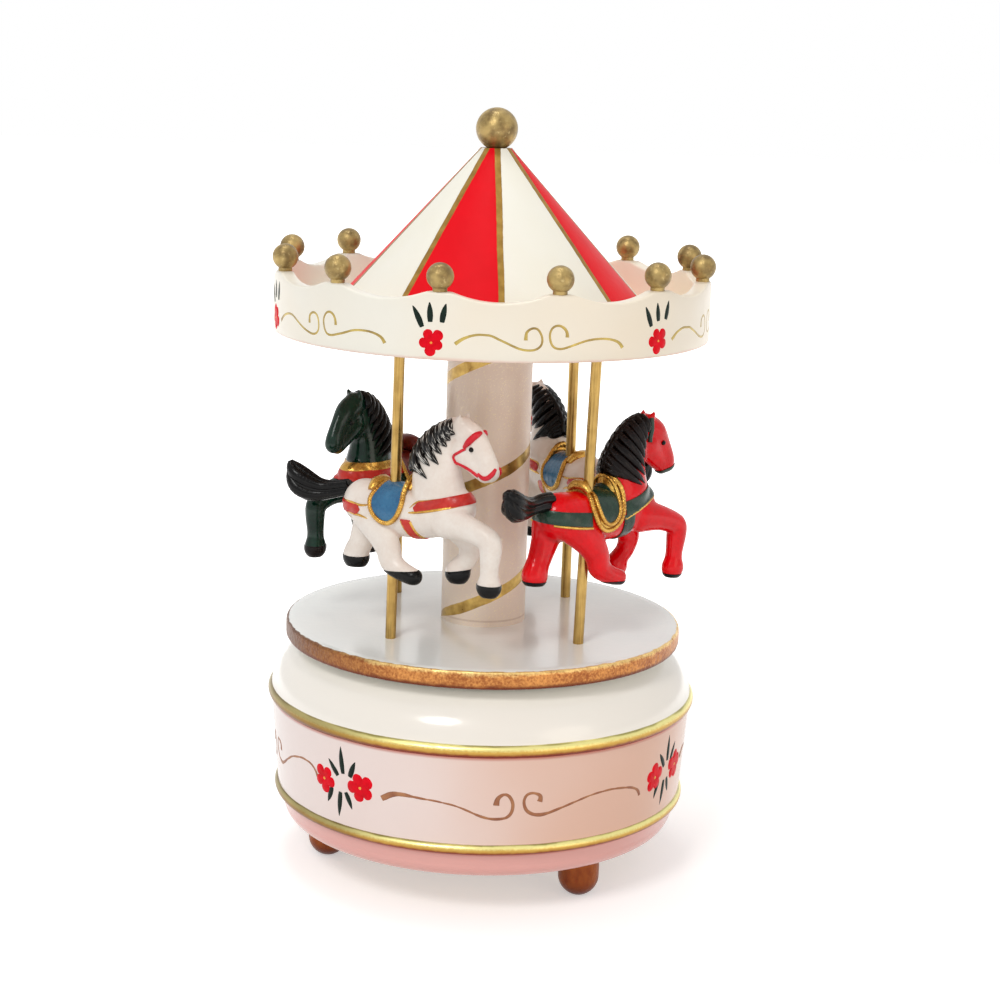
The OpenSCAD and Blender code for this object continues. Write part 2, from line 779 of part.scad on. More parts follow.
module deck_hub() {
    color(steel)
    difference() {
        union() {
            translate([0, 0, deck_z]) cylinder(r = hub_r, h = hub_flange_t);
            translate([0, 0, deck_z]) cylinder(r = hub_boss_r, h = hub_flange_t + hub_boss_h);
        }
        translate([0, 0, deck_z - cut_over])
            cylinder(r = arbor_r, h = hub_flange_t + hub_boss_h + 2 * cut_over);
        hub_screw_places()
            translate([0, 0, deck_z - cut_over])
                cylinder(r = small_screw_r + peg_gap, h = hub_flange_t + 2 * cut_over);
    }
}

module hub_screws() {
    color(dark_steel)
    hub_screw_places() {
        translate([0, 0, deck_z - small_screw_head_t])
            cylinder(r = small_screw_head_r, h = small_screw_head_t);
        translate([0, 0, deck_z - small_screw_head_t])
            cylinder(r = small_screw_r, h = small_screw_head_t + hub_flange_t + hub_screw_h);
    }
}

module pole_place(i) {
    rotate(-135 + 90 * (i - 1)) translate([pole_ring_r, 0, 0]) children();
}

module platform() {
    color(cream)
    difference() {
        translate([0, 0, deck_z]) cylinder(r = platform_r, h = platform_t);
        translate([0, 0, deck_z - cut_over])
            cylinder(r = hub_r + peg_gap, h = cut_over + hub_flange_t + peg_gap);
        translate([0, 0, deck_z - cut_over]) cylinder(r = hub_boss_r + peg_gap, h = platform_t);
        translate([0, 0, platform_z - tenon_h - peg_gap])
            cylinder(r = tenon_r + peg_gap, h = tenon_h + peg_gap + cut_over);
        hub_screw_places()
            translate([0, 0, deck_z])
                cylinder(r = small_screw_r + peg_gap, h = hub_flange_t + hub_screw_h + 2 * peg_gap);
        for (i = [1:4])
            pole_place(i)
                translate([0, 0, platform_z - pole_seat_h])
                    cylinder(r = pole_r + peg_gap, h = pole_seat_h + cut_over);
    }
}

module column() {
    color(cream)
    difference() {
        union() {
            translate([0, 0, platform_z]) cylinder(r = column_r, h = column_h);
            translate([0, 0, platform_z - tenon_h]) cylinder(r = tenon_r, h = tenon_h);
        }
        translate([0, 0, platform_z - tenon_h - cut_over])
            cylinder(r = arbor_r + peg_gap, h = arbor_z1 - platform_z + tenon_h + 1.2 * cut_over);
        translate([0, 0, canopy_z - dowel_down])
            cylinder(r = dowel_r + peg_gap, h = dowel_down + cut_over);
    }
}

module canopy_dowel() {
    color(wood)
    translate([0, 0, canopy_z - dowel_down + peg_gap])
        cylinder(r = dowel_r, h = dowel_down + canopy_floor_t + dowel_up - 2 * peg_gap);
}

module pole(i) {
    color(gold)
    pole_place(i)
        translate([0, 0, platform_z - pole_seat_h + peg_gap])
            cylinder(r = pole_r, h = column_h + 2 * (pole_seat_h - peg_gap));
}

// Places the rim's balls, and the middles of the scallops half a step further on
module rim_place(i, step = 0) {
    rotate(ball_turn - 90 + 360 * (i - 1 + step) / scallops) children();
}

module canopy_rim() {
    scallop_cut_r = (pow(scallop_w / 2, 2) + pow(scallop_depth, 2)) / (2 * scallop_depth);
    color(cream)
    difference() {
        translate([0, 0, canopy_z]) cylinder(r = canopy_r, h = rim_h);
        translate([0, 0, canopy_floor_z]) cylinder(r = canopy_r - rim_t, h = rim_h);
        translate([0, 0, canopy_z - cut_over])
            cylinder(r = dowel_r + peg_gap, h = canopy_floor_t + 2 * cut_over);
        for (i = [1:scallops]) {
            rim_place(i, 0.5)
                translate([canopy_r - 2 * rim_t, 0, rim_z - scallop_depth + scallop_cut_r])
                    rotate([0, 90, 0]) cylinder(r = scallop_cut_r, h = 3 * rim_t);
            rim_place(i)
                translate([canopy_r - rim_t / 2, 0, rim_z - ball_peg_h - peg_gap])
                    cylinder(r = ball_peg_r + peg_gap, h = ball_peg_h + cut_over);
        }
        for (i = [1:4])
            pole_place(i)
                translate([0, 0, canopy_z - cut_over])
                    cylinder(r = pole_r + peg_gap, h = pole_seat_h + cut_over);
    }
}

module canopy_ball(i) {
    color(gold)
    rim_place(i)
        translate([canopy_r - rim_t / 2, 0, rim_z]) {
            translate([0, 0, ball_h]) sphere(ball_r);
            cylinder(r = neck_r, h = ball_h);
            translate([0, 0, -ball_peg_h]) cylinder(r = ball_peg_r, h = ball_peg_h + ball_h);
        }
}

module canopy_cone() {
    color(red)
    difference() {
        translate([0, 0, canopy_floor_z]) cylinder(r1 = cone_r, r2 = cone_tip_r, h = cone_h);
        translate([0, 0, canopy_floor_z - cut_over])
            cylinder(r = dowel_r + peg_gap, h = dowel_up + cut_over);
        translate([0, 0, cone_top_z - finial_peg_h - peg_gap])
            cylinder(r = finial_peg_r + peg_gap, h = finial_peg_h + cut_over);
    }
}

module finial() {
    color(gold) {
        intersection() {
            translate([0, 0, finial_z]) sphere(finial_r);
            translate([0, 0, cone_top_z]) cylinder(r = 2 * finial_r, h = 3 * finial_r);
        }
        translate([0, 0, cone_top_z - finial_peg_h])
            cylinder(r = finial_peg_r, h = finial_peg_h + finial_r);
    }
}

// A solid through a row of joints, thinned sideways by the flat factor
module limb(joints, flat = 1) {
    for (i = [0:len(joints) - 2])
        hull()
            for (j = [joints[i], joints[i + 1]])
                translate(j[0]) scale([1, flat, 1]) sphere(j[1], $fn = horse_fn);
}

module horse(i, colour) {
    color(colour)
    pole_place(i)
        translate([0, 0, platform_z + saddle_h - drawn_saddle_h + horse_lift[i - 1]])
            rotate(90 + horse_turn[i - 1])
                difference() {
                    union() {
                        limb([rump, barrel, shoulder]);
                        limb([shoulder, withers, neck_top, crown], 0.75);
                        limb([crown, cheek, muzzle], 0.8);
                        limb([neck_top, cheek], 0.75);
                        limb(near_hind);
                        limb(far_hind);
                        limb(near_fore);
                        limb(far_fore);
                        limb(tail);
                    }
                    translate([-horse_reach, -horse_reach, 0])
                        cube([2 * horse_reach, 2 * horse_reach, hoof_flat_z]);
                    cylinder(r = pole_r + 0.2, h = 2 * drawn_saddle_h, $fn = 24);
                }
}

base_drum();
bottom_plate();
plate_screws();
for (i = [1:3])
    foot(i);
roof_bush();
bedplate();
bedplate_screws();
spring_can();
can_screws();
mainspring();
comb();
comb_screws();
governor_frame();
governor_screws();
winding_arbor();
ratchet_wheel();
click();
crown_wheel();
deck_hub();
hub_screws();
platform();
column();
canopy_dowel();
canopy_rim();
canopy_cone();
finial();
music_cylinder();
cylinder_pins();
cylinder_shaft();
cylinder_pinion();
cylinder_gear();
governor_wheel();
governor_pinion();
fly_worm();
fly_vane();
for (i = [1:4])
    pole(i);
horse(1, cream);  // horse_white_front
horse(2, red);  // horse_red
horse(3, cream);  // horse_white_back
horse(4, green);  // horse_green
for (i = [1:scallops])
    canopy_ball(i);
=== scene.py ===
# A wind-up carousel music box of turned and painted wood: a hollow base with a spring movement, and on
# its arbor a platform with four cast horses on gold poles, a column, and a scalloped canopy with a
# striped cone. It is put together here from the feet up. Lengths are in millimetres, and MM turns them
# into the frame's metres.
import json
import math
import random

import bmesh
import bpy
from mathutils import Matrix, Vector
from mathutils.bvhtree import BVHTree


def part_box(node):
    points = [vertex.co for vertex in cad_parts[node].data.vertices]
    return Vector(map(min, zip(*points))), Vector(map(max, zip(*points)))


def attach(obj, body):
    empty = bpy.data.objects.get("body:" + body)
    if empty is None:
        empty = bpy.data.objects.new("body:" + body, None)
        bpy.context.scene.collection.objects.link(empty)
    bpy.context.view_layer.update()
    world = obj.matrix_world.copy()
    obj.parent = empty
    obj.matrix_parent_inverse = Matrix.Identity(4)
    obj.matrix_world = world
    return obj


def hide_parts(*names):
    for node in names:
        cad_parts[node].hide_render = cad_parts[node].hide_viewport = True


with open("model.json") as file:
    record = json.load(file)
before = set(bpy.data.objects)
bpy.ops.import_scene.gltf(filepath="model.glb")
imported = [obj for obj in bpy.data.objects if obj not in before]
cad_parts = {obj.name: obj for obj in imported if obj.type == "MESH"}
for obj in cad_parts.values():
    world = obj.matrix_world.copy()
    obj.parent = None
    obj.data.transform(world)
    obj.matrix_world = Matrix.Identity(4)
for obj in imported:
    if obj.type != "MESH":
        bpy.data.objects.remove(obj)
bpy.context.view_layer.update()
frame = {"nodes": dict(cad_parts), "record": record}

# ------------------------------
# Base drum: one block of wood turned on a lathe and hollowed, with two gold bead rings cut on it.
# Sprayed glossy, the shoulder white and the band and heel pink, then the beads are painted gold by
# hand with the drum turning. The copper on the lower side of each bead and the reddish edge below it
# are painted shade and a painted reflection of the pink band.
# ------------------------------
MM = 0.001


class Knob:
    """A node's output that can be used in sums. Each operator adds its Math node."""

    def __init__(self, tree, socket=None):
        self.tree, self.socket = tree, socket

    def node(self, kind, settings=None, inputs=None, output=0):
        """Any node: its settings are set first, then its sockets get their values or links."""
        made = self.tree.nodes.new("ShaderNode" + kind)
        for name, value in (settings or {}).items():
            setattr(made, name, value)
        for name, value in (inputs or {}).items():
            if isinstance(value, Knob):
                self.tree.links.new(value.socket, made.inputs[name])
            elif isinstance(value, tuple) and made.inputs[name].type == "RGBA":
                made.inputs[name].default_value = (*value, 1)
            else:
                made.inputs[name].default_value = value
        return Knob(self.tree, None if output is None else made.outputs[output])

    def also(self, output):
        """Another output of the node that this one comes from."""
        return Knob(self.tree, self.socket.node.outputs[output])

    def maths(self, operation, *values):
        return self.node("Math", {"operation": operation}, dict(enumerate(values)))

    def __add__(self, other):
        return self.maths("ADD", self, other)

    def __sub__(self, other):
        return self.maths("SUBTRACT", self, other)

    def __rsub__(self, other):
        return self.maths("SUBTRACT", other, self)

    def __mul__(self, other):
        return self.maths("MULTIPLY", self, other)

    def __truediv__(self, other):
        return self.maths("DIVIDE", self, other)

    def __abs__(self):
        return self.maths("ABSOLUTE", self)

    __radd__, __rmul__ = __add__, __mul__

    def step(self, start, end):
        """0 before start and 1 after end, smooth between them. It falls where end is the smaller."""
        low, high = (start, end) if start < end else (end, start)
        rising = self.node("MapRange", {"interpolation_type": "SMOOTHSTEP"},
                           {"Value": self, "From Min": low, "From Max": high})
        return rising if start < end else 1 - rising

    def noise(self, scale, detail=2.0, spread=1.0):
        """Noise on this vector, at scale per millimetre, from about -spread to +spread."""
        field = self.node("TexNoise", {}, {"Vector": self, "Scale": scale, "Detail": detail})
        return (field - 0.5) * (2 * spread)

    def stretched(self, *scale):
        """This vector scaled along each axis, for a pattern that runs along one of them."""
        return self.node("Mapping", {}, {"Vector": self, "Scale": scale})

    def tint(self, *colours):
        """The first colour where this is 0, and the second where it is 1. A plain one is given by its
        screen values of 0 to 255."""
        first, second = (c if isinstance(c, Knob) else srgb(*c) for c in colours)
        settings = {"data_type": "RGBA", "clamp_factor": True}
        return self.node("Mix", settings, {0: self, 6: first, 7: second}, 2)


def srgb(*screen):
    """A colour by its screen values, as the shader wants it."""
    return tuple(v / 3294.6 if v <= 10.31475 else ((v / 255 + 0.055) / 1.055) ** 2.4 for v in screen)


def from_axis(x, y):
    """How far a place is from the axis that everything turns on."""
    square = x * x + y * y
    return square.maths("SQRT", square)


def start_material(name):
    """A new material, the place on the surface in millimetres as a vector, and its x, y and z."""
    material = bpy.data.materials.new(name)
    material.use_nodes = True
    material.node_tree.nodes.clear()
    place = Knob(material.node_tree).node("TexCoord", output="Object")
    place = place.node("VectorMath", {"operation": "SCALE"}, {0: place, "Scale": 1 / MM})
    split = place.node("SeparateXYZ", {}, {0: place})
    return material, place, [split.also(axis) for axis in range(3)]


def finish_material(material, colour, relief, relief_mm, **sockets):
    """The shader itself. A number stays on its socket, and what varies over the surface is linked."""
    names = {"roughness": "Roughness", "metallic": "Metallic", "coat": "Coat Weight",
             "coat_roughness": "Coat Roughness", "specular": "Specular IOR Level"}
    bump = relief.node("Bump", {}, {"Height": relief, "Distance": relief_mm * MM, "Strength": 1.0})
    values = {"Base Color": colour, "Normal": bump, **{names[k]: v for k, v in sockets.items()}}
    shader = bump.node("BsdfPrincipled", {}, values)
    shader.node("OutputMaterial", {}, {"Surface": shader}, None)
    return material


def dress(material, *nodes):
    """Nodes of the frame take a material."""
    for node in nodes:
        mesh = frame["nodes"][node].data
        mesh.materials.clear()
        mesh.materials.append(material)


drum_low, drum_high = (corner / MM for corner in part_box("base_drum"))
upper_bead_z, upper_bead_half = drum_low.z + 31.9, 1.5
lower_bead_z, lower_bead_half = drum_low.z + 7.8, 1.25
shoulder_z = upper_bead_z + 0.6
bore_r, roof_t = 38.3, 3.5

material, place, (x, y, z) = start_material("base_paint")
radius = from_axis(x, y)
wobble = place.noise(0.12, 2, 0.12)
bead_up = (z - upper_bead_z + wobble) / upper_bead_half
bead_down = (z - lower_bead_z + wobble) / lower_bead_half
on_upper = abs(bead_up).step(1.06, 0.96)
on_lower = abs(bead_down).step(1.1, 0.98)
bead = on_upper.maths("MAXIMUM", on_upper, on_lower)
# The beads' gold, all painted light: painted shade and a painted pink reflection as copper below, a
# painted highlight over the middle, a painted olive reflection on top, and painted shade on the left.
height = bead_up + (bead_down - bead_up) * on_lower
gold = (height + place.noise(0.5, 3, 0.25)).step(-0.75, 0.0).tint((134, 52, 32), (196, 156, 76))
gold = (height + place.noise(1.5, 2, 0.2)).step(0.0, 0.6).tint(gold, (236, 226, 150))
gold = (height + place.noise(0.1, 2, 0.3)).step(0.7, 1.0).tint(gold, (150, 142, 82))
# Painted shade: the gold darkens towards the left side.
left_shade = (x * -0.02 + place.noise(0.04, 2, 0.4)).step(0.25, 1.1)
gold = (left_shade * 0.75).tint(gold, (104, 76, 40))
# Painted warm shade, with a little random tone: the band turns peach towards the right side.
blush = (place.noise(0.02, 2, 0.4) + x * 0.012 + 0.5).step(0.0, 1.1)
pink = blush.tint((248, 232, 228), (233, 186, 162))
pink = z.step(lower_bead_z + 0.1, lower_bead_z - 0.1).tint(pink, (240, 176, 168))
white = place.noise(0.03, 2, 0.5).step(-0.6, 0.6).tint((252, 248, 240), (250, 243, 234))
paint = (z + wobble).step(shoulder_z, shoulder_z + 0.3).tint(pink, white)
# Painted shade: a reddish-brown edge on the band just under each bead.
for middle, half, reach in ((upper_bead_z, upper_bead_half, 0.9), (lower_bead_z, lower_bead_half, 0.8)):
    shade_under_bead = (z + wobble + half - middle).step(-reach, -0.1) * (z - middle).step(0.1, -0.1)
    paint = (shade_under_bead * 0.75).tint(paint, (196, 96, 76))
paint = bead.tint(paint, gold)
inside = radius.step(bore_r + 0.3, bore_r) * z.step(drum_high.z - roof_t, drum_high.z - roof_t - 0.5)
grain = place.stretched(1.0, 0.12, 1.0).noise(1.2, 5, 0.5)
paint = inside.tint(paint, grain.step(-0.4, 0.4).tint((176, 132, 84), (206, 166, 116)))
orange_peel = place.noise(0.9, 3, 0.5)
brushed = place.stretched(0.5, 0.5, 6.0).noise(1.0, 3, 0.5)
finish_material(material, paint, orange_peel * 0.35 * (1 - bead) + brushed * bead, 0.05, metallic=bead * 0.85,
                roughness=bead * 0.12 + 0.2 + inside * 0.4 + place.noise(0.25, 3, 0.05),
                coat=(1 - inside) * (1 - bead) * 0.35, coat_roughness=0.08)
dress(material, "base_drum")

# ------------------------------
# Band ornament: four sprays of two red flowers and six leaves, with a pair of gold scrolls between
# each two, painted on the band with a small brush. Each stroke is a thin raised line of paint.
# ------------------------------
brush = random.Random(7)


def pick(*objects):
    """Only these are selected, and the first is the active one. With none, nothing is selected."""
    bpy.ops.object.select_all(action="DESELECT")
    for chosen in objects:
        chosen.select_set(True)
    if objects:
        bpy.context.view_layer.objects.active = objects[0]


def join(parts):
    """Several objects made one, with its place in its mesh."""
    pick(*parts)
    if len(parts) > 1:
        bpy.ops.object.join()
    joined = bpy.context.view_layer.objects.active
    bpy.ops.object.transform_apply(location=True, rotation=True, scale=True)
    return joined


def mount(piece, name, material, body, node=None, crease=None):
    """A finished piece gets its name and material and hangs on its body. It can stand for a node, and
    be smooth where it turns by less than the crease, in degrees."""
    piece.name = piece.data.name = name
    piece.data.materials.clear()
    piece.data.materials.append(material)
    if crease:
        pick(piece)
        bpy.ops.object.shade_smooth_by_angle(angle=math.radians(crease))
    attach(piece, body)
    if node:
        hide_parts(node)


def cord_line(points, radii, closed=False, resolution=3):
    """A round line through points, with its own radius at each, as a mesh."""
    pick()
    bpy.ops.curve.primitive_nurbs_path_add(enter_editmode=False, location=(0, 0, 0))
    curve = bpy.context.object
    curve.data.splines.clear()
    spline = curve.data.splines.new("NURBS")
    spline.points.add(len(points) - 1)
    for knot, spot, radius in zip(spline.points, points, radii):
        knot.co, knot.radius = (*spot, 1), radius
    spline.order_u, spline.use_endpoint_u, spline.use_cyclic_u = 3, not closed, closed
    curve.data.resolution_u, curve.data.bevel_depth, curve.data.bevel_resolution = resolution, 1.0, 2
    curve.data.use_fill_caps = not closed
    pick(curve)
    bpy.ops.object.convert(target="MESH")
    return bpy.context.object


def stroke(points, widths, thick=0.16):
    """A line of paint through points of the flat layout, a little domed."""
    line = cord_line([(s, t, 0) for s, t in points], [width / 2 for width in widths], resolution=6)
    for vertex in line.data.vertices:
        vertex.co.z *= thick
    return line


def rosette(s, t, size, turn, petals=5, thick=0.3):
    """A five-petalled flower: a ring drawn to the petals' outline, then stepped up to its middle."""
    pick()
    bpy.ops.mesh.primitive_circle_add(vertices=60, radius=1, fill_type="NOTHING", location=(0, 0, 0))
    flower = bpy.context.object
    lengths = [1 + brush.uniform(-0.12, 0.1) for _ in range(petals)]
    for vertex in flower.data.vertices:
        angle = math.atan2(vertex.co.y, vertex.co.x)
        part = (angle / (2 * math.pi) * petals) % petals
        lobe = abs(math.cos(math.pi * (part % 1 - 0.5)))
        reach = size / 2 * lengths[int(part) % petals] * (0.62 + 0.38 * lobe ** 0.6)
        vertex.co = (reach * math.cos(angle), reach * math.sin(angle), 0)
    bpy.ops.object.mode_set(mode="EDIT")
    bpy.ops.mesh.select_all(action="SELECT")
    for factor, rise in ((0.86, 0.62), (0.6, 0.3), (0.34, -0.25), (0.12, -0.2)):
        bpy.ops.mesh.extrude_edges_move()
        bpy.ops.transform.resize(value=(factor, factor, 1))
        bpy.ops.transform.translate(value=(0, 0, rise * thick))
    bpy.ops.mesh.merge(type="CENTER")
    bpy.ops.object.mode_set(mode="OBJECT")
    flower.data.transform(Matrix.Translation((s, t, 0)) @ Matrix.Rotation(turn, 4, "Z"))
    return flower


def heart(s, t, half, ends, middle, thick):
    """The heart of a flower: a short fat stroke across it, with its width at the ends and the middle."""
    return stroke([(s - half, t), (s, t + 0.1), (s + half, t)], [ends, middle, ends], thick)


def jitter(points, amount):
    return [(s + brush.uniform(-amount, amount), t + brush.uniform(-amount, amount)) for s, t in points]


def leaf(start, end, width=1.6):
    """A short brush stroke that is pointed at its far end."""
    (a, b), (c, d) = start, end
    bow = brush.uniform(-0.25, 0.25)
    middle = ((a + c) / 2 + bow * (d - b) / 5, (b + d) / 2 - bow * (c - a) / 5)
    return stroke([start, middle, end], [width * 0.7, width * 1.35, width * 0.1], 0.2)


def sprig(s, t, places):
    """The leaves of a spray whose middle is at s and t, each from its root to its tip."""
    return [leaf(*jitter([(s + a, t + b) for a, b in ends], 0.15)) for ends in places]


def paint_on(name, parts, place_on, material, body):
    """Joins the strokes of one colour and lays them on a turned surface. place_on gives the angle,
    radius and height of a point of the flat layout."""
    piece = join(parts)
    for vertex in piece.data.vertices:
        angle, radius, height = place_on(vertex.co.x, vertex.co.y)
        radius += vertex.co.z
        vertex.co = (radius * math.sin(angle) * MM, -radius * math.cos(angle) * MM, height * MM)
    pick(piece)
    bpy.ops.object.mode_set(mode="EDIT")
    bpy.ops.mesh.select_all(action="SELECT")
    bpy.ops.mesh.normals_make_consistent(inside=False)
    bpy.ops.object.mode_set(mode="OBJECT")
    bpy.ops.object.shade_smooth()
    mount(piece, name, material, body)


def two_shades(name, first, second, patch, change, relief, rough, flicker=(0.5, 2, 0.06), **sockets):
    """A brushed paint: two close shades in patches, and a little relief, as its noise and its depth."""
    material, place, _ = start_material(name)
    colour = place.noise(*patch).step(-change, change).tint(first, second)
    *relief_noise, relief_mm = relief
    return finish_material(material, colour, place.noise(*relief_noise), relief_mm,
                           roughness=rough + place.noise(*flicker), **sockets)


flower_red = two_shades("flower_red", (246, 2, 34), (218, 0, 24), (0.7, 3, 0.6), 0.3,
                        (1.5, 2, 0.5, 0.04), 0.42, specular=0.12)
heart_orange = two_shades("flower_heart_orange", (246, 150, 40), (250, 190, 70), (1.2, 2, 0.6), 0.3,
                          (1.5, 2, 0.5, 0.03), 0.4, (0.5, 2, 0.05))
leaf_green = two_shades("leaf_green", (3, 20, 14), (14, 38, 28), (0.9, 3, 0.6), 0.35,
                        (1.5, 2, 0.5, 0.03), 0.4, specular=0.15)
scroll_copper = two_shades("scroll_copper", (138, 84, 62), (172, 120, 82), (0.35, 3, 0.7), 0.4,
                           (1.8, 2, 0.5, 0.04), 0.38, (0.6, 2, 0.06), metallic=0.55)

band_top_r, band_bottom_r, band_layout_r = 51.7, 49.9, 51.0
sunk = 0.03
# Where the sprays stand, in degrees from the front, and where each pair of scrolls meets, with how far
# its left and its right scroll reach from there.
spray_places, spray_z = [-38.6, 61.2, 148.0, 235.0], 31.0
scroll_places = [(10.6, 32.2, 33.8), (104.6, 27.5, 27.5), (191.5, 27.5, 27.5), (284.3, 32.7, 24.8)]
spray_flowers = [(-5.4, -1.3, 7.2), (5.8, -1.1, 8.0)]
spray_leaves = [
    ((-0.9, 0.4), (-3.7, 4.1)), ((0.6, 1.3), (0.3, 7.9)), ((2.6, 1.05), (4.6, 5.15)),
    ((-3.1, -2.8), (-4.7, -6.9)), ((-0.3, -3.3), (-0.9, -9.6)), ((1.4, -3.05), (3.1, -6.95))]
# Each scroll from the tip of its curl outwards: how far out, how high, and how wide the line is.
left_scroll = [
    (5.1, 29.5, 1.5), (5.1, 30.6, 1.2), (4.45, 31.6, 0.9), (3.3, 32.2, 0.8), (2.15, 31.7, 0.8),
    (1.4, 30.45, 0.8), (1.15, 29.05, 0.8), (1.5, 27.5, 0.8), (2.6, 26.4, 0.8), (4.55, 25.95, 0.75),
    (6.7, 26.15, 0.7), (9.0, 26.85, 0.65), (11.0, 27.8, 0.55), (14.4, 29.0, 0.5), (16.9, 29.5, 0.5),
    (19.4, 29.85, 0.5), (21.8, 30.0, 0.55), (24.4, 30.2, 0.7), (26.7, 30.45, 1.0), (28.5, 30.3, 1.25),
    (30.3, 29.75, 1.45), (31.6, 29.0, 1.6), (32.2, 28.5, 1.4)]
right_scroll = [
    (4.9, 30.1, 1.4), (5.25, 30.85, 1.1), (4.9, 31.55, 0.9), (4.15, 32.0, 0.75), (3.0, 32.3, 0.7),
    (1.9, 31.95, 0.7), (1.35, 31.0, 0.7), (1.15, 29.9, 0.75), (1.5, 28.7, 0.8), (2.15, 27.7, 0.85),
    (3.5, 27.0, 0.95), (5.2, 26.75, 0.95), (6.95, 26.95, 0.85), (8.95, 27.6, 0.7), (12.5, 28.6, 0.6),
    (15.7, 29.6, 0.55), (18.2, 30.1, 0.5), (20.6, 30.35, 0.55), (23.8, 30.55, 0.55), (26.9, 30.3, 0.6),
    (30.2, 29.7, 0.6), (32.2, 28.85, 0.7), (33.5, 27.8, 0.9), (33.8, 26.8, 0.8)]
curl_end = 5.3


def on_band(s, t):
    """The band leans out a little, from the lower bead to the upper one."""
    share = (t - lower_bead_z) / (upper_bead_z - lower_bead_z)
    return s / band_layout_r, band_bottom_r + share * (band_top_r - band_bottom_r) - sunk, t


def reaching(scroll, reach):
    """The same scroll with its long end drawn out or in to this reach, and bowed a little for it."""
    share = (reach - curl_end) / (scroll[-1][0] - curl_end)
    bow = 0.4 * (1 - share) * share
    return [(s, t) if s < curl_end else (curl_end + (s - curl_end) * share, t + bow * (s - curl_end))
            for s, t, _ in scroll]


flowers, hearts, leaves, scrolls = [], [], [], []
for spray in spray_places:
    s0 = math.radians(spray) * band_layout_r
    for out, up, size in spray_flowers:
        s, t = s0 + out, spray_z + up
        flowers.append(rosette(s, t, size, brush.uniform(0, 1.2)))
        hearts.append(heart(s, t, 0.45, 0.9, 1.5, 0.4))
    leaves += sprig(s0, spray_z, spray_leaves)
for middle, left_reach, right_reach in scroll_places:
    s0 = math.radians(middle) * band_layout_r
    for side, scroll, reach in ((-1, left_scroll, left_reach), (1, right_scroll, right_reach)):
        line = jitter([(s0 + side * s, t) for s, t in reaching(scroll, reach)], 0.08)
        scrolls.append(stroke(line, [width for *_, width in scroll]))
for name, parts, material in (("band_flowers", flowers, flower_red), ("band_hearts", hearts, heart_orange),
                              ("band_leaves", leaves, leaf_green), ("band_scrolls", scrolls, scroll_copper)):
    paint_on(name, parts, on_band, material, "base")

# ------------------------------
# Feet: three turned pegs with round ends, glued into the bottom plate and painted copper gold.
# The bottom plate and the canopy's dowel are bare beech.
# ------------------------------
slots = {part["node"]: part["material_slot"] for part in frame["record"]["subparts"]}
foot_r, peg_r, sole_r = 4.9, 2.2, 1.2
end_stretch, end_cut = 1.02, 0.22

material, place, (x, y, z) = start_material("copper_gold_paint")
streak = place.stretched(1.0, 1.0, 0.5).noise(0.4, 4, 0.7)
copper = streak.step(-0.5, 0.5).tint((116, 46, 18), (158, 88, 38))
copper = z.step(4.5, 0.5).tint(copper, (100, 40, 20))
finish_material(material, copper, place.noise(1.2, 4, 0.6), 0.12, metallic=0.75 + streak * 0.1,
                roughness=0.36 + place.noise(0.8, 3, 0.1))


def turned(profile, steps, at=(0, 0), inset=1.5):
    """A turned piece: a disc at the profile's first radius and height, drawn ring by ring to the
    others and closed with a disc."""
    pick()
    (last_r, last_z), *rest = profile
    bpy.ops.mesh.primitive_circle_add(vertices=steps, radius=last_r * MM, fill_type="NGON",
                                      location=(at[0] * MM, at[1] * MM, last_z * MM))
    piece = bpy.context.object
    bpy.ops.object.mode_set(mode="EDIT")
    bpy.ops.mesh.select_mode(type="EDGE")
    bpy.ops.mesh.select_all(action="SELECT")
    for k, (r, h) in enumerate(rest):
        if k == 0:
            bpy.ops.mesh.extrude_region_move()
        else:
            bpy.ops.mesh.extrude_edges_move()
        bpy.ops.transform.resize(value=(r / last_r, r / last_r, 1))
        bpy.ops.transform.translate(value=(0, 0, (h - last_z) * MM))
        last_r, last_z = r, h
    bpy.ops.mesh.edge_face_add()
    bpy.ops.mesh.inset(thickness=inset * MM)
    bpy.ops.mesh.select_all(action="SELECT")
    bpy.ops.mesh.normals_make_consistent(inside=False)
    bpy.ops.object.mode_set(mode="OBJECT")
    bpy.ops.object.transform_apply(location=True, rotation=True, scale=True)
    return piece


for number in (1, 2, 3):
    low, high = (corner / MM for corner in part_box(f"foot_{number}"))
    profile = [(sole_r, 0.0)]
    for degrees in range(24, 85, 10):
        a = math.radians(degrees)
        profile.append((foot_r * math.sin(a), max(0.02, foot_r * end_stretch * (1 - math.cos(a)) - end_cut)))
    profile += [(foot_r, 6.0), (foot_r, 8.0), (foot_r - 0.1, drum_low.z)]
    profile += [(peg_r, drum_low.z), (peg_r, high.z)]
    foot = turned(profile, 64, ((low.x + high.x) / 2, (low.y + high.y) / 2), 0.6)
    mount(foot, f"foot_turned_{number}", material, "base", f"foot_{number}", 40)

material, place, _ = start_material("bare_wood")
along = place.stretched(1.0, 0.07, 0.35)
ring = along.noise(0.45, 5, 0.7)
pore = along.noise(3.0, 2, 0.6)
wood = ring.step(-0.4, 0.4).tint((196, 152, 102), (224, 186, 138))
wood = pore.step(0.25, 0.4).tint(wood, (158, 112, 70))
finish_material(material, wood, ring + pore * 0.5, 0.08, roughness=0.62 + pore * 0.1)
dress(material, "bottom_plate", "canopy_dowel")

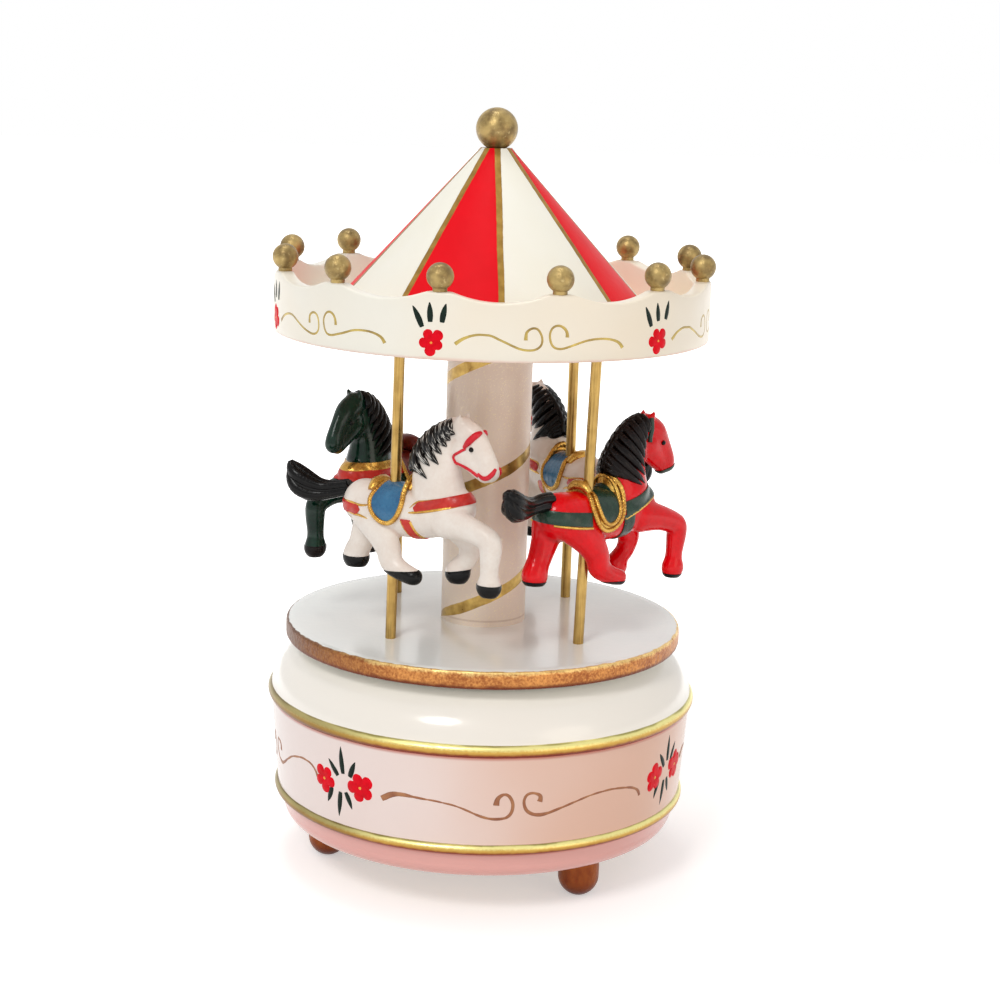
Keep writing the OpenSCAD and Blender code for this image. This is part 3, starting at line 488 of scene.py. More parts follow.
# ------------------------------
# Movement: a bought-in spring movement of stamped brass and steel, screwed under the drum's roof,
# with its winding arbor standing up through the roof into the platform's hub.
# ------------------------------
for slot, light, dark, polish in (("brass", (212, 178, 100), (178, 140, 70), 0.28),
                                  ("steel", (190, 192, 196), (150, 153, 158), 0.3),
                                  ("dark_steel", (98, 102, 108), (62, 64, 70), 0.36)):
    material, place, _ = start_material("movement_" + slot)
    lines = place.stretched(0.2, 4.0, 4.0).noise(1.0, 3, 0.5)
    stain = place.noise(0.15, 4, 0.6)
    metal = (stain + lines * 0.4).step(-0.35, 0.35).tint(dark, light)
    finish_material(material, metal, lines, 0.02, metallic=1.0, roughness=polish + stain * 0.15)
    dress(material, *(node for node, used in slots.items() if used == slot))

# ------------------------------
# Platform: a turned wooden disc, sprayed pearly white on top, with a copper-gold edge that was
# dabbed on thickly by hand, so that it is rough and its border on the top wanders.
# ------------------------------
disc_low, disc_high = (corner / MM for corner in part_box("platform"))
disc_r = disc_high.x
# How far in from the edge, and how high over the underside.
disc_edge = [(1.0, 0.0), (0.35, 0.12), (0.06, 0.5), (0.0, 1.2), (0.0, 2.2), (0.0, 3.1), (0.05, 3.7),
             (0.28, 4.1), (0.75, disc_high.z - disc_low.z)]
dented_low, dented_high, dented_in = 0.3, 4.2, 0.5
dabs = random.Random(3)
dents = [(k, dabs.uniform(0, 6.28), 0.05 / math.sqrt(k)) for k in range(7, 60, 3)]
platform = turned([(disc_r - inwards, disc_low.z + h) for inwards, h in disc_edge], 256, inset=2.2)
for vertex in platform.data.vertices:
    r = vertex.co.xy.length / MM
    h = vertex.co.z / MM - disc_low.z
    if r > disc_r - dented_in and dented_low < h < dented_high:
        angle = math.atan2(vertex.co.y, vertex.co.x)
        dent = sum(deep * math.sin(k * angle + start + h * 1.3) for k, start, deep in dents)
        shrink = (r - abs(dent) * 0.8) / r
        vertex.co.x *= shrink
        vertex.co.y *= shrink

material, place, (x, y, z) = start_material("platform_paint")
radius = from_axis(x, y)
edge = (radius + place.noise(0.35, 5, 0.55) * 0.9).step(disc_r - 0.75, disc_r - 0.5)
lathe = place.node("CombineXYZ", {}, {0: radius * 0.9}).noise(1.0, 3, 0.5)
pearl = (place.noise(0.05, 3, 0.6) + lathe * 0.35).step(-0.5, 0.5).tint((244, 248, 247), (252, 254, 251))
# The edge's paint: speckled copper, with a painted highlight along the top, painted shade below and
# painted shade on the left side.
fleck = place.noise(0.9, 5, 0.7)
speck = place.noise(1.9, 4, 0.8)
copper = (speck * 0.7 + fleck * 0.4 + place.noise(0.16, 3, 0.3)).step(-0.4, 0.4)
copper = copper.tint((144, 78, 38), (214, 148, 80))
# Painted shade: the copper darkens towards the left side.
left_shade = (x * -0.02 + place.noise(0.04, 2, 0.4)).step(0.3, 1.1)
# Painted highlight: paler along the top, less of it on the left.
bright = place.noise(0.25, 3, 0.5) + speck * 0.4 + (z - disc_high.z) * 0.45 - left_shade * 0.5
copper = bright.step(-0.55, 0.05).tint(copper, (240, 208, 136))
copper = (left_shade * 0.85).tint(copper, (78, 44, 24))
# Painted shade: darker along the bottom of the edge.
copper = (place.noise(0.4, 3, 0.5) + z - disc_low.z).step(1.4, 0.4).tint(copper, (112, 54, 30))
finish_material(material, edge.tint(pearl, copper), fleck * edge * 2.5 + place.noise(0.5, 3, 0.4) * 0.35,
                0.07, metallic=edge * 0.7, roughness=0.2 + edge * 0.18 + place.noise(0.3, 3, 0.05),
                coat=(1 - edge) * 0.3, coat_roughness=0.06)
mount(platform, "platform_disc", material, "carousel", "platform", 35)

# ------------------------------
# Column: a turned wooden post in pearl paint with fine glitter, with one gold ribbon painted round
# it as a screw that rises to the right.
# ------------------------------
post_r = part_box("column")[1].x / MM
ribbon_pitch, ribbon_w, ribbon_z = 29.4, 2.7, 67.0
ribbon_slant = math.cos(math.atan(ribbon_pitch / (2 * math.pi * post_r)))
foot_line_z = disc_high.z + 1.4
material, place, (x, y, z) = start_material("column_paint")
turn = x.maths("ARCTAN2", x, y * -1) / (2 * math.pi)
course = (z - ribbon_z + place.noise(0.08, 2, 0.35)) / ribbon_pitch - turn
off = abs(course.maths("WRAP", course, 0.5, -0.5))
distance = off * (ribbon_pitch * ribbon_slant) + place.noise(0.6, 3, 0.12)
taper = z.step(disc_high.z - 0.5, disc_high.z + 3.0)
ribbon = (distance - taper * (ribbon_w / 2)).step(0.1, -0.1)
glitter = place.node("TexVoronoi", {"feature": "F1"}, {"Vector": place, "Scale": 4.2}, "Color")
glint = glitter.node("SeparateColor", {}, {0: glitter}).step(0.88, 0.97)
pearl = place.noise(0.06, 3, 0.7).step(-0.5, 0.5).tint((238, 217, 199), (250, 236, 220))
pearl = glint.tint(pearl, (252, 236, 208))
pearl = (abs(z - foot_line_z).step(0.35, 0.1) * 0.4).tint(pearl, (190, 160, 140))
gold = (place.noise(0.5, 3, 0.6) + place.noise(0.1, 2, 0.4)).step(-0.4, 0.5)
gold = gold.tint((152, 118, 58), (214, 180, 100))
finish_material(material, ribbon.tint(pearl, gold), place.noise(1.4, 3, 0.5) + glint * 0.5, 0.035,
                metallic=ribbon * 0.7 + (1 - ribbon) * glint * 0.25,
                roughness=0.34 - ribbon * 0.04 + place.noise(0.5, 3, 0.06))
dress(material, "column")

# ------------------------------
# Poles: four brass rods with gold lacquer, pushed through the horses and seated in the platform
# and the canopy. None of them stands quite true.
# ------------------------------
# How far each is off to the right, at its foot and at its top.
pole_leans = {1: (0.2, 1.1), 2: (0.7, 2.7), 3: (-0.9, -0.9), 4: (-0.3, -1.1)}
pole_bevel, pole_rings = 0.15, 24
material, place, _ = start_material("gold_rod")
drawn = place.stretched(2.0, 2.0, 0.08).noise(1.4, 3, 0.6)
worn = place.noise(0.25, 4, 0.7)
rod = (drawn * 0.6 + worn * 0.5).step(-0.4, 0.4).tint((134, 104, 54), (198, 164, 96))
finish_material(material, rod, drawn, 0.03, metallic=0.9, roughness=0.3 + worn * 0.1)
for number, (lean_foot, lean_top) in pole_leans.items():
    low, high = (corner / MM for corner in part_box(f"pole_{number}"))
    pole_r, pole_h = (high.x - low.x) / 2, high.z - low.z
    profile = [(pole_r, low.z + pole_h * k / pole_rings) for k in range(1, pole_rings)]
    profile = [(pole_r - pole_bevel, low.z), *profile, (pole_r - pole_bevel, high.z)]
    pole = turned(profile, 40, ((low.x + high.x) / 2, (low.y + high.y) / 2), 0.3)
    for vertex in pole.data.vertices:
        share = (vertex.co.z / MM - low.z) / pole_h
        vertex.co.x += (lean_foot + (lean_top - lean_foot) * share) * MM
    mount(pole, f"pole_seated_{number}", material, "carousel", f"pole_{number}", 40)

# ------------------------------
# Canopy rim: a shallow turned tray with a scalloped edge, the saw marks sanded round and sprayed
# warm white, with a flower under every other ball and gold scrolls between the flowers.
# ------------------------------
rim_low, rim_high = (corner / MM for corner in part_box("canopy_rim"))
rim_r, rim_h, rim_wall, floor_t = rim_high.x, rim_high.z - rim_low.z, 3.5, 4.0
inner, edge_round = rim_r - rim_wall, 0.55
scallop_count, scallop_half, scallop_depth = 12, 10.5, 2.0
scallop_cut_r = (scallop_half ** 2 + scallop_depth ** 2) / (2 * scallop_depth)
scallop_from, scallop_over = 8.0, 4.0
first_ball = math.radians(17)


def scallop_drop(angle, reach):
    """How far the edge lies below its peaks, at this angle from the front."""
    step = 2 * math.pi / scallop_count
    off = (angle - first_ball) % step - step / 2
    across = reach * math.sin(off)
    if abs(across) >= scallop_half:
        return 0.0
    return scallop_depth - scallop_cut_r + math.sqrt(scallop_cut_r ** 2 - across ** 2)


# From the underside up the outer wall, over the rounded edge, and down inside to the floor.
rounding = [(edge_round * math.cos(math.radians(a)), edge_round * math.sin(math.radians(a)))
            for a in (0, 22, 45, 68, 90)]
profile = [(rim_r - 0.6, 0.0), (rim_r - 0.17, 0.17), (rim_r, 0.6), (rim_r, 3.0), (rim_r, 6.0), (rim_r, 9.0),
           (rim_r, 11.5)]
profile += [(rim_r - edge_round + out, rim_h - edge_round + up) for out, up in rounding]
profile += [(inner + edge_round - up, rim_h - edge_round + out) for out, up in rounding]
profile += [(inner, 10.5), (inner, 7.0), (inner, floor_t + 0.5), (inner - 0.4, floor_t)]
rim = turned([(r, rim_low.z + h) for r, h in profile], 360)
for vertex in rim.data.vertices:
    h = vertex.co.z / MM - rim_low.z
    if h > scallop_from:
        angle = math.atan2(vertex.co.x, -vertex.co.y)
        share = min(1.0, (h - scallop_from) / scallop_over)
        vertex.co.z -= scallop_drop(angle, vertex.co.xy.length / MM) * share * MM

material, place, (x, y, z) = start_material("canopy_paint")
# Random tone, and painted warm light: the white turns warmer towards the right side.
tone_and_right_light = (place.noise(0.03, 2, 0.6) + x * 0.006).step(-0.6, 0.6)
white = tone_and_right_light.tint((250, 248, 238), (250, 236, 214))
blush = (z + place.noise(0.15, 3, 0.5)).step(rim_low.z + 0.9, rim_low.z + 0.1)
finish_material(material, (blush * 0.6).tint(white, (236, 190, 176)), place.noise(0.8, 3, 0.5), 0.03,
                roughness=0.36 + place.noise(0.3, 3, 0.06), coat=0.15, coat_roughness=0.2)
mount(rim, "rim_scalloped", material, "carousel", "canopy_rim", 50)

scroll_gold = two_shades("scroll_gold", (132, 108, 62), (196, 172, 92), (0.25, 3, 0.7), 0.4,
                         (1.8, 2, 0.5, 0.04), 0.34, (0.6, 2, 0.06), metallic=0.65)
# The rhythm round the rim, in degrees from the front, and the height of the flowers on it.
rim_flower_at, rim_scroll_at, rim_step = -14.3, 13.2, 60
rim_flower_z, rim_flower_size, rim_layout_r = 4.05, 6.2, 52.0
start_widths, line_width, end_widths = [1.0, 0.85, 0.75], 0.65, [0.7, 0.9, 1.0]
rim_leaves = [((-2.3, 3.2), (-4.7, 7.7)), ((-0.3, 4.3), (-0.6, 8.6)), ((2.3, 4.3), (3.2, 8.7))]
left_scroll = [
    (4.5, 5.1), (4.5, 6.2), (4.2, 6.9), (3.2, 7.7), (2.2, 7.6), (1.4, 6.9), (0.8, 5.4), (0.9, 3.9),
    (1.9, 3.0), (3.5, 2.75), (5.4, 3.05), (7.0, 3.6), (8.5, 4.4), (10.4, 5.25), (12.0, 5.85), (13.3, 6.0),
    (14.8, 6.05), (16.7, 5.7), (18.6, 4.75), (19.8, 3.8)]
right_scroll = [
    (4.9, 5.6), (4.8, 6.65), (4.1, 7.9), (2.8, 8.4), (1.5, 7.95), (0.8, 6.4), (1.0, 4.5), (1.9, 3.4),
    (3.5, 3.1), (5.5, 3.7), (7.5, 4.2), (9.8, 4.95), (12.3, 5.15), (14.8, 5.15), (16.7, 4.7), (18.1, 3.85),
    (18.6, 2.9)]
flowers, hearts, leaves, scrolls = [], [], [], []
for k in range(6):
    s, t = math.radians(rim_flower_at + rim_step * k) * rim_layout_r, rim_flower_z
    flowers.append(rosette(s, t, rim_flower_size, math.pi / 2 + brush.uniform(-0.2, 0.2)))
    hearts.append(heart(s, t - 0.3, 0.35, 0.8, 1.3, 0.42))
    leaves += sprig(s, t, rim_leaves)
    s = math.radians(rim_scroll_at + rim_step * k) * rim_layout_r
    for side, scroll in ((-1, left_scroll), (1, right_scroll)):
        line = jitter([(s + side * out, up) for out, up in scroll], 0.1)
        scrolls.append(stroke(line, start_widths + [line_width] * (len(line) - 6) + end_widths))


def on_rim(s, t):
    return s / rim_layout_r, rim_r - sunk, rim_low.z + t


for name, parts, material in (("rim_flowers", flowers, flower_red), ("rim_hearts", hearts, heart_orange),
                              ("rim_leaves", leaves, leaf_green), ("rim_scrolls", scrolls, scroll_gold)):
    paint_on(name, parts, on_rim, material, "carousel")

# ------------------------------
# Cone: turned wood, painted in ten sectors of red and white by eye, so they differ in width, with
# a gold line over each border.
# ------------------------------
borders = [-170, -138, -108, -77, -36.2, 3.8, 52.2, 84, 119, 155]
line_half, line_blur = 0.72, 0.06
material, place, (x, y, z) = start_material("cone_paint")
radius = from_axis(x, y)
bearing = x.maths("ARCTAN2", x, y * -1) * (180 / math.pi)
bearing = bearing + place.noise(0.1, 2, 0.25) * 40 / radius
nearest, red_share = abs(bearing - borders[0]), bearing.maths("GREATER_THAN", bearing, borders[0])
for k, border in enumerate(borders[1:], 1):
    nearest = nearest.maths("MINIMUM", nearest, abs(bearing - border))
    red_share = red_share + bearing.maths("GREATER_THAN", bearing, border) * (-1) ** k
from_line = nearest * radius * (math.pi / 180) + place.noise(0.7, 3, 0.1)
line = from_line.step(line_half + line_blur, line_half - line_blur)
red = place.noise(0.12, 3, 0.6).step(-0.6, 0.6).tint((244, 2, 26), (230, 0, 20))
white = place.noise(0.05, 3, 0.6).step(-0.6, 0.6).tint((253, 252, 244), (249, 246, 232))
olive = place.noise(0.4, 3, 0.6).step(-0.4, 0.4).tint((138, 104, 48), (176, 140, 70))
finish_material(material, line.tint((1 - red_share).tint(red, white), olive),
                place.noise(0.7, 3, 0.5) + line * 1.2, 0.04, metallic=line * 0.6, specular=0.12,
                roughness=0.4 - line * 0.05 + place.noise(0.3, 3, 0.06))
dress(material, "canopy_cone")

# ------------------------------
# Balls: turned wooden beads, the large one on the cone's tip and twelve on the rim, each on a peg
# and painted in an old gold that is darker where the brush missed.
# ------------------------------
material, place, _ = start_material("gold_paint")
patch = place.noise(0.35, 4, 0.7)
old_gold = patch.step(-0.3, 0.3).tint((116, 94, 54), (182, 156, 98))
old_gold = place.noise(1.1, 3, 0.7).step(0.1, 0.5).tint(old_gold, (208, 186, 130))
finish_material(material, old_gold, place.noise(1.0, 4, 0.6), 0.1, metallic=0.55,
                roughness=0.4 + patch * 0.12)
dress(material, *(node for node, used in slots.items() if used == "gold_paint"))

# ------------------------------
# Horses: four casts of one resin mould, drilled for their poles and painted by hand. The body is
# built up of rounds along its limbs, run together and smoothed, in millimetres from the foot of the
# pole, with x forwards, y to the horse's left and z up.
# ------------------------------
# Each limb: the middle of a round forwards, left and up, its radius, and its narrowness.
horse_limbs = [
    [(-7.4, 0, 31.4, 5.6, 0.94), (-4.0, 0, 31.0, 6.0, 0.94), (3, 0, 30.8, 6.2, 0.96), (9, 0, 31.2, 6.1, 0.95),
     (14.5, 0, 32.2, 5.9, 0.92), (18.0, 0, 33.4, 4.9, 0.88)],
    [(13.1, 0, 36.0, 6.8, 0.8), (12.6, 0, 41.5, 6.1, 0.7), (14.0, 0, 46.5, 5.1, 0.62),
     (16.4, 0, 50.3, 3.9, 0.62), (19.6, 0, 51.9, 3.0, 0.78)],
    [(19.8, 0, 51.4, 3.2, 0.8), (22.0, 0, 50.0, 3.4, 0.76), (24.5, 0, 46.9, 3.0, 0.72),
     (26.5, 0, 43.9, 2.6, 0.84), (26.8, 0, 43.0, 2.5, 0.9)],
    [(19.9, 0, 47.4, 3.7, 0.72), (22.4, 0, 45.2, 3.1, 0.72), (25.6, 0, 42.4, 2.2, 0.85)],
    [(-4.6, -2.7, 29.6, 4.8, 0.72), (-0.4, -3.7, 25.8, 3.9, 0.74), (2.2, -4.2, 22.2, 3.2, 0.8),
     (3.0, -4.3, 19.6, 2.9, 0.85), (5.6, -4.4, 17.9, 2.4, 0.95), (9.6, -4.4, 16.7, 2.0, 1.05)],
    [(-7.9, 2.4, 29.0, 4.7, 0.72), (-8.8, 2.3, 25.4, 3.8, 0.74), (-10.4, 2.1, 20.8, 3.1, 0.82),
     (-11.3, 1.9, 18.8, 3.1, 0.9), (-11.6, 1.9, 17.4, 3.4, 0.85)],
    [(17.0, -2.8, 30.8, 4.2, 0.74), (23.0, -3.2, 30.0, 3.2, 0.82), (27.9, -3.2, 28.6, 2.8, 0.88),
     (29.6, -3.2, 27.4, 2.8, 0.88), (29.8, -3.2, 25.0, 2.6, 0.9), (29.6, -3.2, 21.4, 2.2, 0.95),
     (29.6, -3.2, 19.2, 2.3, 0.95), (29.6, -3.2, 17.4, 3.0, 0.85)],
    [(16.0, 2.8, 29.0, 4.0, 0.74), (19.8, 3.2, 25.2, 3.0, 0.82), (19.4, 3.4, 21.4, 2.4, 0.9),
     (17.6, 3.4, 19.4, 2.4, 0.9), (16.6, 3.4, 17.5, 3.1, 0.85)],
]
sole_z, belly_z, voxel = 15.1, 31, 0.42
ear_root, ear_tip, ear_rounds = (18.8, 1.4, 53.2), (19.6, 1.8, 55.2), 8
eye_at, eye_r = (23.2, 2.6, 47.9), 0.6
lock_r, crest_r = 0.95, 0.9
hoof_coat, strap_coat = 0.14, 0.3


def between(first, second, share):
    return tuple(a + (b - a) * share for a, b in zip(first, second))


def smooth_point(four, share):
    """A point between the middle two of four, on a smooth curve that goes through them all."""
    return tuple(0.5 * (2 * b + (c - a) * share + (2 * a - 5 * b + 4 * c - d) * share ** 2
                        + (3 * b - a - 3 * c + d) * share ** 3) for a, b, c, d in zip(*four))


def curved(points, k, share):
    """A point of the smooth curve through a row of points, after the one of number k."""
    return smooth_point([points[max(0, min(len(points) - 1, k + step))] for step in (-1, 0, 1, 2)], share)


pick()
bpy.ops.mesh.primitive_ico_sphere_add(subdivisions=2, radius=3, location=(0, 0, 0))
horse_body = bpy.context.object
horse_body.name = horse_body.data.name = "horse_pattern"
bpy.ops.object.mode_set(mode="EDIT")
bpy.ops.mesh.select_all(action="SELECT")
bpy.ops.transform.translate(value=(3, 0, belly_z))
for limb in horse_limbs:
    for k in range(len(limb) - 1):
        length = math.dist(limb[k][:3], limb[k + 1][:3])
        steps = max(1, round(length / (0.3 * min(limb[k][3], limb[k + 1][3]))))
        for n in range(steps + (k == len(limb) - 2)):
            *spot, r, narrow = curved(limb, k, n / steps)
            bpy.ops.mesh.primitive_ico_sphere_add(subdivisions=3, radius=r, location=spot,
                                                  scale=(1, narrow, 1))
for side in (-1, 1):
    for n in range(ear_rounds):
        px, py, pz = between(ear_root, ear_tip, n / (ear_rounds - 1))
        bpy.ops.mesh.primitive_ico_sphere_add(subdivisions=2, radius=1.5 - 0.13 * n,
                                              location=(px, py * side, pz), scale=(0.8, 0.62, 1))
bpy.ops.object.mode_set(mode="OBJECT")


def modify(piece, kind, **settings):
    """Adds a modifier and applies it."""
    pick(piece)
    modifier = piece.modifiers.new(kind.lower(), kind)
    for name, value in settings.items():
        setattr(modifier, name, value)
    bpy.ops.object.modifier_apply(modifier=modifier.name)


def trim(piece, at, outward):
    """Cuts the piece by a plane, drops what lies outward of it, and closes the cut."""
    pick(piece)
    bpy.ops.object.mode_set(mode="EDIT")
    bpy.ops.mesh.select_all(action="SELECT")
    bpy.ops.mesh.bisect(plane_co=at, plane_no=outward, use_fill=True, clear_outer=True)
    bpy.ops.object.mode_set(mode="OBJECT")


modify(horse_body, "REMESH", mode="VOXEL", voxel_size=voxel, use_smooth_shade=True)
modify(horse_body, "SMOOTH", factor=0.5, iterations=6)
trim(horse_body, (0, 0, sole_z), (0, 0, -1))

# The skin is what cords are laid on. How hollow it is at each point says where painted shade darkens the
# paint.
pattern = bmesh.new()
pattern.from_mesh(horse_body.data)
skin = BVHTree.FromBMesh(pattern)
pattern.verts.ensure_lookup_table()
hollow = [sum((edge.other_vert(v).co - v.co).dot(v.normal) for edge in v.link_edges)
          / max(1, len(v.link_edges)) for v in pattern.verts]
for _ in range(6):
    hollow = [(hollow[v.index] + sum(hollow[edge.other_vert(v).index] for edge in v.link_edges))
              / (1 + len(v.link_edges)) for v in pattern.verts]
pattern.free()
horse_body.data.attributes.new("hollow", "FLOAT", "POINT").data.foreach_set("value", hollow)


def copy_of(piece):
    pick(piece)
    bpy.ops.object.duplicate()
    return bpy.context.object


def over_body(planes, proud):
    """A layer that stands a little proud of the body, kept only inside the planes."""
    layer = copy_of(horse_body)
    for at, outward in planes:
        trim(layer, at, outward)
    modify(layer, "DISPLACE", strength=proud, mid_level=0.0)
    return layer


def strap(start, end, half, x_from=None, x_to=None, top=None, bottom=None, point=None):
    """A painted strap along a line of x and z, of half its width. It can stop at a limit, and its rear
    or front end can come to a point."""
    (x1, z1), (x2, z2) = start, end
    length = math.dist(start, end)
    across = Vector((-(z2 - z1) / length, 0, (x2 - x1) / length))
    middle = Vector((x1, 0, z1))
    planes = [(middle + half * across, across), (middle - half * across, -across)]
    for limit, axis, way in ((x_from, 0, -1), (x_to, 0, 1), (top, 2, 1), (bottom, 2, -1)):
        if limit is not None:
            at, outward = [0, 0, 0], [0, 0, 0]
            at[axis], outward[axis] = limit, way
            planes.append((at, outward))
    if point is not None:
        (px, pz), way = point
        planes += [((px, 0, pz), (way, 0, 0.8)), ((px, 0, pz), (way, 0, -0.8))]
    return over_body(planes, strap_coat)


def surface_point(x, y, z, proud, seen=False):
    """The skin's nearest point, or the one that is seen there from the side, and a little over it."""
    spot = None
    if seen:
        side = 1 if y > 0 else -1
        spot, normal, _, _ = skin.ray_cast(Vector((x, 20 * side, z)), Vector((0, -side, 0)), 20)
    if spot is None:
        spot, normal, _, _ = skin.find_nearest(Vector((x, y, z)))
    return spot + normal * proud


def lace(line, radius, y=6.0, ends=1.0):
    """A fine cord on each side of the skin, along points of x and z. Its ends can be thinner."""
    made = []
    for side in (-1, 1):
        spots = []
        for k in range(len(line) - 1):
            for n in range(4 + (k == len(line) - 2)):
                x0, z0 = curved(line, k, n / 4)
                spots.append(surface_point(x0, side * y, z0, 0.0, seen=True))
        last = len(spots) - 1
        made.append(cord_line(spots, [radius * (ends + (1 - ends) * min(1, 3.5 * min(n, last - n) / last))
                                      for n in range(last + 1)]))
    return made


# Each lock of a mane: where it grows from the crest, and its tip, as x and z.
short_mane = [
    ((5.9, 42.4), (8.6, 42.4)), ((6.0, 43.4), (9.7, 42.2)), ((6.2, 44.6), (11.6, 41.2)),
    ((6.9, 46.2), (12.9, 40.2)), ((8.2, 48.0), (13.2, 43.2)), ((10.0, 49.8), (15.4, 43.8)),
    ((11.9, 51.2), (16.0, 46.2)), ((13.7, 52.2), (17.2, 48.0)), ((15.2, 52.9), (18.0, 49.4)),
    ((16.6, 53.3), (18.6, 51.0))]
long_mane = [
    ((6.2, 42.0), (9.4, 41.6)), ((6.3, 43.4), (11.6, 40.0)), ((6.7, 44.8), (14.0, 38.4)),
    ((7.4, 46.4), (15.4, 38.8)), ((8.4, 48.2), (16.0, 40.8)), ((9.8, 50.0), (16.4, 42.8)),
    ((11.4, 51.6), (16.8, 44.8)), ((13.2, 52.9), (17.0, 46.8)), ((15.0, 53.7), (17.3, 48.8)),
    ((16.7, 54.1), (17.9, 50.8))]
# Each tail from the rump to its tip: x, y and z of its middle, and its radius.
swung_tail = [
    (-10.6, 0, 34.6, 2.2), (-13.4, -0.3, 34.2, 2.0), (-16.6, -0.9, 33.2, 1.75), (-19.6, -1.6, 32.8, 2.2),
    (-22.6, -2.4, 33.3, 3.1), (-25.2, -3.1, 34.7, 3.3), (-26.8, -3.6, 36.8, 2.3), (-27.2, -3.8, 38.8, 0.8)]
straight_tail = [
    (-10.6, 0, 34.6, 2.1), (-13.4, -0.3, 34.9, 1.9), (-16.6, -0.9, 34.3, 1.7), (-19.6, -1.6, 34.1, 2.1),
    (-22.6, -2.4, 34.4, 2.9), (-25.2, -3.1, 35.2, 3.1), (-26.8, -3.6, 36.6, 2.2), (-27.2, -3.8, 38.3, 0.8)]
narrow_tail = [(-12.6, 0, 34.2, 1.6)] + swung_tail[2:]
# The strands round the middle one of a tail, sideways and up, in shares of 0.7 of its radius.
strands = [(0.55, 0.7), (-0.55, 0.7), (0.6, -0.65), (-0.6, -0.65), (0, 1.0), (0, -0.95)]


def lock(crest, tip, side):
    """One lock of the mane: from the crest down the side of the neck, to a point."""
    spots = [Vector((crest[0], side * 0.25, crest[1]))]
    for n in range(1, 7):
        x0, z0 = between(crest, tip, n / 6)
        bow = 0.9 * math.sin(math.pi * n / 6)
        out = side * (0.4 + 3.6 * (n / 6) ** 0.6)
        spots.append(surface_point(x0 - 0.35 * bow, out, z0 - 0.6 * bow, 0.15))
    return cord_line(spots, [lock_r * v for v in (1.1, 1.25, 1.25, 1.15, 0.95, 0.62, 0.12)])


def mane_of(locks):
    made = [lock(crest, tip, side) for side in (-1, 1) for crest, tip in locks]
    return made + [cord_line([(x0, 0, z0) for (x0, z0), _ in locks], [crest_r] * len(locks))]


def tail_of(path):
    return [cord_line([(x0, y0 + dy * r * 0.7, z0 + dz * r * 0.7) for x0, y0, z0, r in path],
                      [r * share for *_, r in path])
            for share, dy, dz in [(0.8, 0, 0)] + [(0.55, dy, dz) for dy, dz in strands]]


def saddle_rope(centre, radius_x, radius_z, top_z, radius, proud):
    """A twisted cord along a saddle's edge: round the flap on one side, over the back and round the
    other, closed on itself."""
    (cx, cz), flank_y, back_z, steps = centre, 5.5, top_z + 2.5, 22
    start = math.asin(min(1, (top_z - cz) / radius_z))
    angles = [start - (math.pi + 2 * start) * n / steps for n in range(steps + 1)]
    near = [(cx + radius_x * math.cos(a), -flank_y, cz + radius_z * math.sin(a)) for a in angles]
    edge = near + [(near[-1][0], y0, back_z) for y0 in (-3, -1, 1, 3)]
    edge += [(x0, -y0, z0) for x0, y0, z0 in reversed(near)]
    edge += [(near[0][0], y0, back_z) for y0 in (3, 1, -1, -3)]
    spots = [surface_point(*spot, proud) for spot in edge]
    count = len(spots)
    for _ in range(3):
        spots = [(spots[k - 1] + spots[k] * 2 + spots[(k + 1) % count]) / 4 for k in range(count)]
    dense = [smooth_point([spots[(k + step) % count] for step in (-1, 0, 1, 2)], n / 3)
             for k in range(count) for n in range(3)]
    radii = [radius * (1.16 if n % 2 else 0.84) for n in range(len(dense))]
    return cord_line(dense, radii, closed=True, resolution=2)


def flap(centre, radius_x, radius_z, proud):
    """A saddle: a layer over the back, cut to an oval on each side."""
    low, high, rear, front = 22, 40, -8, 12
    layer = over_body([((0, 0, low), (0, 0, -1)), ((0, 0, high), (0, 0, 1)),
                       ((rear, 0, 0), (-1, 0, 0)), ((front, 0, 0), (1, 0, 0))], proud)
    pick()
    bpy.ops.mesh.primitive_cylinder_add(vertices=64, radius=1, depth=30, location=(centre[0], 0, centre[1]),
                                        rotation=(math.pi / 2, 0, 0))
    cutter = bpy.context.object
    cutter.scale = (radius_x, radius_z, 1)
    bpy.ops.object.transform_apply(location=True, rotation=True, scale=True)
    modify(layer, "BOOLEAN", operation="INTERSECT", object=cutter, solver="EXACT")
    bpy.data.objects.remove(cutter)
    return layer


def roll(centre, radius, half_width):
    """The raised front or back of a saddle: a fat roll across the back."""
    along_roll = ((-1, 1.6, 0.55), (-0.6, 0.4, 0.95), (0, 0, 1.0), (0.6, 0.4, 0.95), (1, 1.6, 0.55))
    return cord_line([(centre[0], y0 * half_width, centre[1] - drop) for y0, drop, _ in along_roll],
                     [radius * share for *_, share in along_roll], resolution=8)


def eyes_of():
    made, (ex, ey, ez) = [], eye_at
    for side in (-1, 1):
        pick()
        bpy.ops.mesh.primitive_uv_sphere_add(segments=16, ring_count=10, radius=eye_r,
                                             location=surface_point(ex, side * ey, ez, 0.0))
        made.append(bpy.context.object)
    return made


def enamel(name, light, dark, shine=0.28, metallic=0.0, grain=1.3, relief=0.05, recess_shade=None, specular=0.3,
           coat=0.1):
    """Hand-brushed lacquer: two close shades in patches, a little brush relief, and painted shade in the
    hollows.
    """
    material, place, _ = start_material(name)
    shade = (place.noise(0.25, 3, 0.6) + place.noise(grain, 2, 0.3)).step(-0.4, 0.4).tint(dark, light)
    if recess_shade is not None:
        # Painted shade: the colour darkens where the skin is hollow.
        dip = place.node("Attribute", {"attribute_name": "hollow"}, {}, "Fac")
        shade = ((dip + place.noise(0.5, 3, 0.006)).step(0.002, 0.03) * 0.8).tint(shade, recess_shade)
    return finish_material(material, shade, place.noise(grain, 4, 0.6), relief, metallic=metallic,
                           roughness=shine + place.noise(grain * 0.7, 3, 0.07), coat=coat,
                           coat_roughness=0.08, specular=specular)


